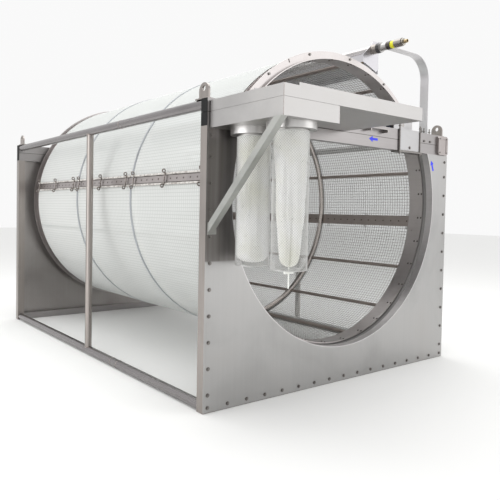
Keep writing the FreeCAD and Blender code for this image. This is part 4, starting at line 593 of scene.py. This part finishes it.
for seam in (seam_angle, seam_angle + math.pi):
    out = Vector((math.cos(seam), 0, math.sin(seam)))
    side = Vector((-math.sin(seam), 0, math.cos(seam)))
    for turn in (-1, 1):
        for section in range(3):
            at = Vector((0, 0, axis_height)) + out * hem_line + side * turn * hem_reach
            low_y, high_y = edges_y[section] + 0.006, edges_y[section + 1] - 0.006
            sleeve_verts = bar(hems, 0.0072, at + Vector((0, low_y, 0)), at + Vector((0, high_y, 0)), sides=10)
            edges = [e for e in {e for v in sleeve_verts for e in v.link_edges}
                     if abs(e.verts[0].co.y - e.verts[1].co.y) > 0.5]
            bmesh.ops.subdivide_edges(hems, edges=edges, cuts=84)
for vert in hems.verts:
    pucker = noise.noise(Vector((vert.co.x * 30, vert.co.y * 55, vert.co.z * 30)))
    middle = Vector((0, vert.co.y, axis_height))
    vert.co += (vert.co - middle).normalized() * min(0.0, pucker) * 0.0028
    vert.co.z += noise.noise(Vector((vert.co.y * 9, 4.0, vert.co.z * 3))) * 0.0024
smooth(hems)
finished("cloth_hems", hems, hem_cloth, "drum", "screen_cloth")


# Straps round the drum over the section joints: thin stainless band with a blue-grey cast,
# drawn tight over the cloth.
band_steel = stainless("band_steel", (0.50, 0.525, 0.55), (0.39, 0.41, 0.435), (0.28, 0.30, 0.32), "X",
                       rough=0.4, blotch_size=7.0)
dress(band_steel, "cloth_bands")


# Hook bolts: round stainless rod bent into an eye at each end, hooked over both hem rods.
hook_steel = stainless("hook_steel", (0.34, 0.31, 0.29), (0.15, 0.13, 0.12), (0.08, 0.07, 0.06), "Z",
                       rough=0.28, blotch_size=45.0, streak=0.1)
dress(hook_steel, "seam_hooks")


# Wheel brackets: folded plates that stand on the end beams, held by clamp bars, threaded rods
# and nuts, with plain round axles for the idlers.
bracket_steel = stainless("bracket_steel", (0.47, 0.465, 0.47), (0.385, 0.38, 0.38), (0.31, 0.285, 0.27), "X",
                          blotch_size=5.0, streak=0.2)
axle_steel = stainless("axle_steel", (0.46, 0.44, 0.42), (0.26, 0.245, 0.235), (0.16, 0.14, 0.13), "Y",
                       rough=0.24, blotch_size=30.0)
dress(bracket_steel, "wheel_brackets")
bracket_bolts = bmesh.new()
bracket_low, bracket_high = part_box("wheel_brackets")
half_bracket = 0.115
for side in (-1, 1):
    wheel_x = (bracket_high.x - half_bracket) * side
    for face_y, out in ((bracket_low.y, -1), (bracket_high.y, 1)):
        at = Vector((wheel_x, face_y, bracket_low.z + 0.023))
        bar(bracket_bolts, 0.008, at, at + Vector((0, out * 0.006, 0)), sides=6)
        bar(bracket_bolts, 0.013, at, at + Vector((0, out * 0.0015, 0)), sides=16)
finished("bracket_bolts", bracket_bolts, bolt_steel, "frame", "bolt_steel")
dress(bolt_steel, "bracket_clamps")
dress(axle_steel, "idler_axles", "drive_shaft")


# Wheels: a cast hub with a blue-black polyurethane tyre bonded to it.
hub_casting = stainless("hub_casting", (0.40, 0.40, 0.41), (0.28, 0.28, 0.29), (0.16, 0.15, 0.15), "Y",
                        rough=0.42, blotch_size=40.0, streak=0.0, bump=0.3)
tyre_rubber = moulded("tyre_rubber", (0.010, 0.013, 0.035), rough=0.42, grain=1400.0, sheen=0.12)
dress(hub_casting, "drive_hub", "front_idler_hub", "rear_left_hub", "front_right_hub")
dress(tyre_rubber, "drive_tyre", "front_idler_tyre", "rear_left_tyre", "front_right_tyre")


# Gearmotor: finned casting in dark blue-grey paint with a terminal box on top and a black fan
# cover held by four screws.
motor_paint = moulded("motor_paint", (0.030, 0.036, 0.055), rough=0.36, grain=500.0, sheen=0.3)
dress(motor_paint, "gearmotor")
dress(black_moulding, "motor_fan_cover")
motor_low, motor_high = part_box("gearmotor")
motor_x = (motor_low.x + motor_high.x) / 2
motor_z = (motor_low.z + motor_high.z) / 2
fan_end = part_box("motor_fan_cover")[1].y
terminal = bmesh.new()
box_size = Vector((0.046, 0.054, 0.018))
box_at = Vector((motor_x, motor_high.y - 0.055, motor_high.z + 0.006))
bmesh.ops.create_cube(terminal, matrix=Matrix.Translation(box_at) @ Matrix.Diagonal((*box_size, 1)))
lid = [face for face in terminal.faces if face.normal.z > 0.5]
bmesh.ops.inset_region(terminal, faces=lid, thickness=0.003, depth=0.002)
bmesh.ops.bevel(terminal, geom=terminal.edges[:], offset=0.0012, segments=2, affect="EDGES", profile=0.5, material=-1)
bar(terminal, 0.008, box_at + Vector((0.023, 0, 0)), box_at + Vector((0.037, 0, 0)), sides=6)
for screw in range(4):
    angle = math.pi / 4 + screw * math.pi / 2
    head_at = Vector((motor_x + 0.025 * math.cos(angle), fan_end - 0.001, motor_z + 0.025 * math.sin(angle)))
    bar(terminal, 0.0032, head_at, head_at + Vector((0, 0.004, 0)), sides=8)
finished("terminal_box", terminal, motor_paint, "frame", "motor_paint")


# Launder and bag box: trough and box folded from satin stainless sheet, joined along their edges
# by ground welds. Short round spigots below the box take the necks of the filter bags.
launder_steel = stainless("launder_steel", (0.50, 0.49, 0.48), (0.41, 0.40, 0.395), (0.36, 0.34, 0.325), "X",
                          rough=0.38, blotch_size=3.0, streak=0.15, fine=40.0, bump=0.02)
spigot_steel = stainless("spigot_steel", (0.62, 0.61, 0.60), (0.50, 0.49, 0.48), (0.40, 0.38, 0.36), "Z",
                         rough=0.34, blotch_size=9.0, streak=0.2)
dress(launder_steel, "launder", "bag_hopper")
dress(spigot_steel, "hopper_spigots")
hopper_low, hopper_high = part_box("bag_hopper")
launder_low, launder_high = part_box("launder")
joints = bmesh.new()
corners = [
    ((hopper_low.x, hopper_low.y, hopper_low.z), (hopper_low.x, hopper_low.y, hopper_high.z)),
    ((hopper_high.x, hopper_low.y, hopper_low.z), (hopper_high.x, hopper_low.y, hopper_high.z)),
    ((launder_low.x, launder_low.y, launder_low.z), (launder_low.x, launder_low.y, launder_high.z - 0.017)),
]
for low, high in corners:
    low, high = Vector(low), Vector(high)
    middle = Vector((-0.6, -0.3, low.z))
    inset = (middle - low).normalized() * 0.0016
    inset.z = 0
    bead = bar(joints, 0.0016, low + inset, high + inset, sides=6)
    edges = [e for e in {e for v in bead for e in v.link_edges} if abs(e.verts[0].co.z - e.verts[1].co.z) > 0.05]
    bmesh.ops.subdivide_edges(joints, edges=edges, cuts=14)
for vert in joints.verts:
    vert.co += noise.noise_vector(vert.co * 260) * 0.0006
smooth(joints)
finished("launder_welds", joints, weld_steel, "frame", "sheet_steel")


# Brace: steel angle from the bag box down to the front sheet's edge, mitred and welded at both
# ends, with a small foot plate on the sheet.
brace_steel = stainless("brace_steel", (0.47, 0.475, 0.455), (0.36, 0.365, 0.345), (0.30, 0.28, 0.24), "Y",
                        rough=0.34, blotch_size=6.0, streak=0.2)
dress(brace_steel, "launder_brace")


# Debris trough and its supports: satin sheet folded to a long shallow channel that reaches
# through the drum, standing on a shelf and a gusset on the front beam.
trough_steel = stainless("trough_steel", (0.56, 0.55, 0.56), (0.46, 0.45, 0.46), (0.38, 0.36, 0.35), "Y",
                         rough=0.38, blotch_size=2.5, streak=0.15, fine=40.0, bump=0.02)
support_steel = stainless("support_steel", (0.42, 0.40, 0.39), (0.31, 0.295, 0.285), (0.22, 0.20, 0.19), "Z",
                          blotch_size=8.0)
dress(trough_steel, "debris_trough")
dress(support_steel, "trough_supports")


# Spray hood over the drum: sheet folded lengthways with welded end plates, carried by flat strips
# rolled over at the top, with a header pipe and a row of brass nozzles inside.
hood_steel = stainless("hood_steel", (0.58, 0.57, 0.59), (0.47, 0.46, 0.48), (0.40, 0.38, 0.38), "Y",
                       rough=0.36, blotch_size=2.5, streak=0.2, bump=0.02)
arch_steel = stainless("arch_steel", (0.66, 0.65, 0.66), (0.55, 0.54, 0.55), (0.46, 0.44, 0.43), "Z",
                       rough=0.4, blotch_size=3.5, streak=0.2, bump=0.02)
pipe_steel = stainless("pipe_steel", (0.52, 0.50, 0.50), (0.38, 0.365, 0.36), (0.28, 0.26, 0.25), "Y",
                       rough=0.28, blotch_size=8.0)
brass = stainless("brass", (0.62, 0.45, 0.20), (0.44, 0.30, 0.12), (0.24, 0.15, 0.07), "Y",
                  rough=0.3, blotch_size=60.0)
dress(hood_steel, "spray_hood", "hood_end_plates")
dress(arch_steel, "hood_arches")
dress(pipe_steel, "spray_header")
dress(brass, "spray_nozzles")


# Quick coupling on the end of the header: turned stainless collars with dark rubber rings, a
# brass hose tail, and a sliding sleeve that is knurled at its end and carries a yellow band.
def banded(name, ends, rough=0.34, metal=1.0, knurl=None):
    """Turned metal whose colour changes along Y at given places, each with its own metalness."""
    material = bpy.data.materials.new(name)
    material.use_nodes = True
    tree = material.node_tree
    shader = tree.nodes["Principled BSDF"]
    where = add(tree, "ShaderNodeTexCoord")
    apart = add(tree, "ShaderNodeSeparateXYZ")
    tree.links.new(where.outputs["Object"], apart.inputs[0])
    turned_lines = add(tree, "ShaderNodeTexNoise", in_Scale=1.0, in_Detail=3.0)
    lay = add(tree, "ShaderNodeMapping")
    lay.inputs["Scale"].default_value = (30.0, 900.0, 30.0)
    tree.links.new(where.outputs["Object"], lay.inputs["Vector"])
    tree.links.new(lay.outputs["Vector"], turned_lines.inputs["Vector"])
    colour = None
    metalness = None
    for number, (start_y, tint, metallic) in enumerate(ends):
        if number == 0:
            colour = add(tree, "ShaderNodeMix", data_type="RGBA")
            colour.inputs["A"].default_value = (*[part * 0.7 for part in tint], 1.0)
            colour.inputs["B"].default_value = (*tint, 1.0)
            tree.links.new(turned_lines.outputs["Fac"], colour.inputs["Factor"])
            metalness = add(tree, "ShaderNodeMath", operation="MULTIPLY", in_0=metallic, in_1=1.0)
            continue
        passed = add(tree, "ShaderNodeMath", operation="LESS_THAN", in_1=start_y)
        tree.links.new(apart.outputs["Y"], passed.inputs[0])
        worn = add(tree, "ShaderNodeMix", data_type="RGBA")
        worn.inputs["A"].default_value = (*[part * 0.75 for part in tint], 1.0)
        worn.inputs["B"].default_value = (*tint, 1.0)
        tree.links.new(turned_lines.outputs["Fac"], worn.inputs["Factor"])
        both = add(tree, "ShaderNodeMix", data_type="RGBA")
        tree.links.new(passed.outputs[0], both.inputs["Factor"])
        tree.links.new(colour.outputs["Result"], both.inputs["A"])
        tree.links.new(worn.outputs["Result"], both.inputs["B"])
        colour = both
        step = add(tree, "ShaderNodeMix", data_type="FLOAT", in_B=metallic)
        tree.links.new(passed.outputs[0], step.inputs["Factor"])
        tree.links.new(metalness.outputs[0], step.inputs["A"])
        metalness = step
    tree.links.new(colour.outputs["Result"], shader.inputs["Base Color"])
    tree.links.new(metalness.outputs[0], shader.inputs["Metallic"])
    roughness = add(tree, "ShaderNodeMapRange", in_3=rough - 0.06, in_4=rough + 0.08)
    tree.links.new(turned_lines.outputs["Fac"], roughness.inputs[0])
    tree.links.new(roughness.outputs[0], shader.inputs["Roughness"])
    relief = add(tree, "ShaderNodeBump", in_Strength=0.3, in_Distance=0.0004)
    if knurl:
        centre = add(tree, "ShaderNodeMapping")
        centre.inputs["Location"].default_value = (-knurl[0], 0.0, -knurl[1])
        tree.links.new(where.outputs["Object"], centre.inputs["Vector"])
        cross = add(tree, "ShaderNodeTexVoronoi", in_Scale=420.0)
        tree.links.new(centre.outputs["Vector"], cross.inputs["Vector"])
        tree.links.new(cross.outputs["Distance"], relief.inputs["Height"])
    else:
        tree.links.new(turned_lines.outputs["Fac"], relief.inputs["Height"])
    tree.links.new(relief.outputs["Normal"], shader.inputs["Normal"])
    return material


coupling_metal = banded("coupling_metal", [
    (1.0, (0.36, 0.33, 0.30), 1.0), (0.068, (0.035, 0.033, 0.032), 0.0), (0.034, (0.50, 0.49, 0.48), 1.0),
    (-0.153, (0.40, 0.38, 0.34), 1.0), (-0.172, (0.46, 0.36, 0.20), 1.0)])
sleeve_metal = banded("sleeve_metal", [
    (1.0, (0.11, 0.10, 0.095), 1.0), (-0.060, (0.80, 0.76, 0.02), 0.0), (-0.090, (0.33, 0.31, 0.29), 1.0)],
    knurl=(0.41, 2.42985))
dress(coupling_metal, "coupling_body")
dress(sleeve_metal, "coupling_sleeve")


# Cover plate over the right-hand end of the front beam: pinkish mill-finish sheet on spacers,
# with a bolt near each corner.
cover_steel = stainless("cover_steel", (0.43, 0.395, 0.385), (0.34, 0.31, 0.30), (0.25, 0.22, 0.21), "Z",
                        blotch_size=12.0)
dress(cover_steel, "beam_end_cover")
cover_low, cover_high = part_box("beam_end_cover")
cover_bolts = bmesh.new()
for x in (cover_low.x + 0.02, cover_high.x - 0.02):
    for z in (cover_low.z + 0.02, cover_high.z - 0.02):
        at = Vector((x, cover_low.y, z))
        bar(cover_bolts, 0.006, at - Vector((0, 0.004, 0)), at + Vector((0, 0.001, 0)), sides=6)
for x in (0.885, 0.965):
    at = Vector((x, beam_low.y, (beam_low.z + beam_high.z) / 2 + 0.018))
    bar(cover_bolts, 0.009, at - Vector((0, 0.007, 0)), at + Vector((0, 0.001, 0)), sides=6)
finished("cover_bolts", cover_bolts, bolt_steel, "frame", "bolt_steel")


# Turning arrows, brushed on with blue marking paint: one on the front beam and one up the edge of
# the front sheet.
arrow_paint = moulded("arrow_paint", (0.02, 0.035, 0.72), rough=0.5, grain=600.0)
arrows = bmesh.new()
for tail, tip, face_y in (
    ((0.312, 1.727), (0.216, 1.727), beam_low.y),
    ((1.010, 1.538), (0.980, 1.619), plate_low.y),
):
    tail, tip = Vector((tail[0], face_y, tail[1])), Vector((tip[0], face_y, tip[1]))
    along = (tip - tail).normalized()
    wide = along.cross(Vector((0, 1, 0)))
    neck = tail + along * (tip - tail).length * 0.6
    outline = [tail + wide * 0.0085, neck + wide * 0.0085, neck + wide * 0.022, tip,
               neck - wide * 0.022, neck - wide * 0.0085, tail - wide * 0.0085]
    flat = arrows.faces.new([arrows.verts.new(co + Vector((0, 0.0004, 0))) for co in outline])
    raised = bmesh.ops.extrude_face_region(arrows, geom=[flat])["geom"]
    bmesh.ops.translate(arrows, verts=[part for part in raised if isinstance(part, bmesh.types.BMVert)],
                        vec=(0, -0.0012, 0))
bmesh.ops.recalc_face_normals(arrows, faces=arrows.faces)
finished("turning_arrows", arrows, arrow_paint, "frame", "sheet_steel")


# Bag baskets: diamond lattice of fine wire rolled to a tube, with a rolled wire at the top, a
# wire at the foot and two across it.
basket_wire = stainless("basket_wire", (0.70, 0.70, 0.69), (0.55, 0.55, 0.54), (0.42, 0.41, 0.39), "Z",
                        rough=0.3, blotch_size=30.0)
columns_round = 42
lattice_rows = 50
for side in ("left", "right"):
    basket_low, basket_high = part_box(f"{side}_basket")
    middle = (basket_low + basket_high) / 2
    wall = (basket_high.x - basket_low.x) / 2 - 0.0018
    lattice = bmesh.new()
    line_low = lattice.verts.new((middle.x + wall, middle.y, basket_low.z + 0.004))
    line_high = lattice.verts.new((middle.x + wall, middle.y, basket_high.z - 0.004))
    upright = lattice.edges.new((line_low, line_high))
    bmesh.ops.subdivide_edges(lattice, edges=[upright], cuts=lattice_rows - 1)
    bmesh.ops.spin(lattice, geom=lattice.verts[:] + lattice.edges[:], cent=middle, axis=(0, 0, 1), dvec=(0, 0, 0),
                   angle=math.tau, steps=columns_round, use_merge=True)
    straight = [edge for edge in lattice.edges if not edge.is_boundary]
    centres = bmesh.ops.poke(lattice, faces=lattice.faces[:])["verts"]
    bmesh.ops.dissolve_edges(lattice, edges=straight, use_verts=False)
    for vert in centres:
        out = Vector((vert.co.x - middle.x, vert.co.y - middle.y, 0))
        vert.co += out.normalized() * (wall - out.length)
    bmesh.ops.recalc_face_normals(lattice, faces=lattice.faces)
    strands = finished(f"{side}_basket_lattice", lattice, basket_wire, f"{side}_basket_body", "basket_steel",
                       f"{side}_basket")
    wires = strands.modifiers.new("wires", "WIREFRAME")
    wires.thickness = 0.0024
    wires.use_even_offset = False
    wires.offset = 0.0
    rims = bmesh.new()
    for height, thick in ((basket_high.z - 0.003, 0.003), (basket_low.z + 0.003, 0.0025)):
        ring(rims, wall - 0.0014, thick, (middle.x, middle.y, height), (0, 0, 1), sides=8, steps=64)
    ring(rims, 0.030, 0.002, (middle.x, middle.y, basket_low.z + 0.003), (0, 0, 1), sides=6, steps=32)
    for spoke in range(8):
        along = Vector((math.cos(spoke * math.tau / 8), math.sin(spoke * math.tau / 8), 0))
        foot = Vector((middle.x, middle.y, basket_low.z + 0.003))
        bar(rims, 0.0014, foot + along * 0.030, foot + along * (wall - 0.002), sides=6)
    smooth(rims)
    finished(f"{side}_basket_rims", rims, basket_wire, f"{side}_basket_body", "basket_steel")


# Filter bags: tubes of white needled felt, slipped over the spigot necks and hanging inside the
# baskets in long soft folds. The right one is gathered at its foot.
bag_felt = bpy.data.materials.new("bag_felt")
bag_felt.use_nodes = True
tree = bag_felt.node_tree
shader = tree.nodes["Principled BSDF"]
shader.inputs["Roughness"].default_value = 0.9
shader.inputs["Sheen Weight"].default_value = 0.3
where = add(tree, "ShaderNodeTexCoord")
yellowed = add(tree, "ShaderNodeTexNoise", in_Scale=5.0, in_Detail=3.0)
fibres = add(tree, "ShaderNodeTexNoise", in_Scale=700.0, in_Detail=3.0)
for texture in (yellowed, fibres):
    tree.links.new(where.outputs["Object"], texture.inputs["Vector"])
felt_tone = add(tree, "ShaderNodeMix", data_type="RGBA")
felt_tone.inputs["A"].default_value = (0.92, 0.92, 0.91, 1.0)
felt_tone.inputs["B"].default_value = (0.84, 0.84, 0.76, 1.0)
yellow_share = add(tree, "ShaderNodeMapRange", in_1=0.45, in_2=0.7)
tree.links.new(yellowed.outputs["Fac"], yellow_share.inputs[0])
tree.links.new(yellow_share.outputs[0], felt_tone.inputs["Factor"])
tree.links.new(felt_tone.outputs["Result"], shader.inputs["Base Color"])
relief = add(tree, "ShaderNodeBump", in_Strength=0.35, in_Distance=0.0006)
tree.links.new(fibres.outputs["Fac"], relief.inputs["Height"])
tree.links.new(relief.outputs["Normal"], shader.inputs["Normal"])
for side, gathered, shift in (("left", 0.0, 3.0), ("right", 1.0, 11.0)):
    bag_low, bag_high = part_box(f"{side}_bag")
    middle = (bag_low + bag_high) / 2
    bag_radius = (bag_high.x - bag_low.x) / 2 - 0.0015
    felt = bmesh.new()
    crown = felt.verts.new((middle.x + bag_radius, middle.y, bag_high.z))
    hem_vert = felt.verts.new((middle.x + bag_radius, middle.y, bag_low.z + bag_radius * 0.5))
    drop = felt.edges.new((crown, hem_vert))
    bmesh.ops.subdivide_edges(felt, edges=[drop], cuts=46)
    felt.verts.ensure_lookup_table()
    last = min(felt.verts, key=lambda vert: vert.co.z)
    for step in range(1, 13):
        angle = step / 12 * math.pi / 2
        reach = bag_radius * math.cos(angle) ** 0.8 if step < 12 else 0.0
        height = bag_low.z + bag_radius * 0.5 * (1 - math.sin(angle))
        lower = felt.verts.new((middle.x + reach, middle.y, height + 0.001))
        felt.edges.new((last, lower))
        last = lower
    bmesh.ops.spin(felt, geom=felt.verts[:] + felt.edges[:], cent=middle, axis=(0, 0, 1), dvec=(0, 0, 0),
                   angle=math.tau, steps=120, use_merge=True)
    bmesh.ops.remove_doubles(felt, verts=felt.verts, dist=0.00005)
    bmesh.ops.recalc_face_normals(felt, faces=felt.faces)
    for vert in felt.verts:
        out = Vector((vert.co.x - middle.x, vert.co.y - middle.y, 0))
        if out.length < 0.001:
            continue
        down = (bag_high.z - vert.co.z) / (bag_high.z - bag_low.z)
        turn = math.atan2(out.y, out.x)
        slack = min(1.0, max(0.0, down - 0.1) * 3.5) * min(1.0, out.length / bag_radius * 1.6)
        around = Vector((math.cos(turn) * 1.6 + shift, math.sin(turn) * 1.6, down * 0.9))
        fold = noise.noise(around) + 0.5 * noise.noise(around * 2.7) + 0.25 * noise.noise(around * 6.1)
        pull = (0.10 + 0.10 * gathered) * slack * (fold - 0.55)
        pleat = 0.0
        if gathered:
            close = max(0.0, (down - 0.35) / 0.65)
            pleat = close ** 2.2 * (0.50 + 0.10 * math.cos(turn * 5 + 3 * down + 1.2))
            crease = max(0.0, 1 - abs(((turn + 2.25) % math.tau) - 0.55 * (1 - down)) / 0.5)
            pull -= 0.28 * crease ** 1.5 * max(0.0, down - 0.3)
        share = max(0.10, 1 + min(0.0, pull) - pleat)
        vert.co.x = middle.x + out.x * share
        vert.co.y = middle.y + out.y * share
    smooth(felt)
    piece = finished(f"{side}_filter_bag", felt, bag_felt, f"{side}_basket_body", "bag_felt", f"{side}_bag")
    doubled = piece.modifiers.new("thickness", "SOLIDIFY")
    doubled.thickness = 0.0018
    doubled.offset = -1.0
    soft_finish = piece.modifiers.new("rounded", "SUBSURF")
    soft_finish.levels = soft_finish.render_levels = 1


# The right bag's foot is closed by a white moulded clip with a cross bar and a hanging tail.
clip_white = moulded("clip_white", (0.70, 0.71, 0.68), rough=0.45)
dress(clip_white, "right_bag_tie")


# Camera at the viewer's place, plain pale floor and soft studio light.
def look(yaw, pitch, roll):
    """Camera axes for a heading from +Y towards +X, a pitch and a roll, in degrees."""
    yaw, pitch, roll = (math.radians(part) for part in (yaw, pitch, roll))
    forward = Vector((math.sin(yaw) * math.cos(pitch), math.cos(yaw) * math.cos(pitch), math.sin(pitch)))
    right = Vector((math.cos(yaw), -math.sin(yaw), 0))
    up = right.cross(forward)
    across = right * math.cos(roll) + up * math.sin(roll)
    above = up * math.cos(roll) - right * math.sin(roll)
    return Matrix((across, above, -forward)).transposed().to_4x4()


camera_data = bpy.data.cameras.new("camera")
camera_data.lens = 41.44
camera_data.sensor_width = 36.0
camera_data.shift_y = -0.04
camera = bpy.data.objects.new("camera", camera_data)
bpy.context.scene.collection.objects.link(camera)
camera.matrix_world = Matrix.Translation((-3.057, -2.775, 1.182)) @ look(38.54, -1.84, 1.07)
bpy.context.scene.camera = camera

floor_bm = bmesh.new()
bmesh.ops.create_grid(floor_bm, x_segments=1, y_segments=1, size=30.0,
                      matrix=Matrix.Translation((0, 1.7, -0.001)))
floor_mesh = bpy.data.meshes.new("floor")
floor_bm.to_mesh(floor_mesh)
floor_bm.free()
floor = bpy.data.objects.new("floor", floor_mesh)
bpy.context.scene.collection.objects.link(floor)
floor_paint = bpy.data.materials.new("floor_paint")
floor_paint.use_nodes = True
floor_paint.node_tree.nodes["Principled BSDF"].inputs["Base Color"].default_value = (0.86, 0.86, 0.85, 1.0)
floor_paint.node_tree.nodes["Principled BSDF"].inputs["Roughness"].default_value = 0.8
floor_mesh.materials.append(floor_paint)

bpy.context.scene.view_settings.view_transform = "Standard"
world = bpy.data.worlds.new("studio")
world.use_nodes = True
world.node_tree.nodes["Background"].inputs["Color"].default_value = (1.0, 1.0, 1.0, 1.0)
world.node_tree.nodes["Background"].inputs["Strength"].default_value = 0.95
bpy.context.scene.world = world
for name, place_at, aim, size, power in (
    ("roof_light", (0.0, 1.7, 6.0), (0.0, 1.7, 1.0), 6.0, 230.0),
    ("front_light", (4.5, -6.0, 3.2), (0.0, 0.0, 1.2), 6.0, 110.0),
    ("left_light", (-7.0, 1.0, 2.2), (0.0, 1.2, 1.1), 5.0, 150.0),
):
    lamp_data = bpy.data.lights.new(name, "AREA")
    lamp_data.size = size
    lamp_data.energy = power
    lamp = bpy.data.objects.new(name, lamp_data)
    bpy.context.scene.collection.objects.link(lamp)
    lamp.location = place_at
    lamp.rotation_mode = "QUATERNION"
    lamp.rotation_quaternion = (Vector(aim) - Vector(place_at)).to_track_quat("-Z", "Y")
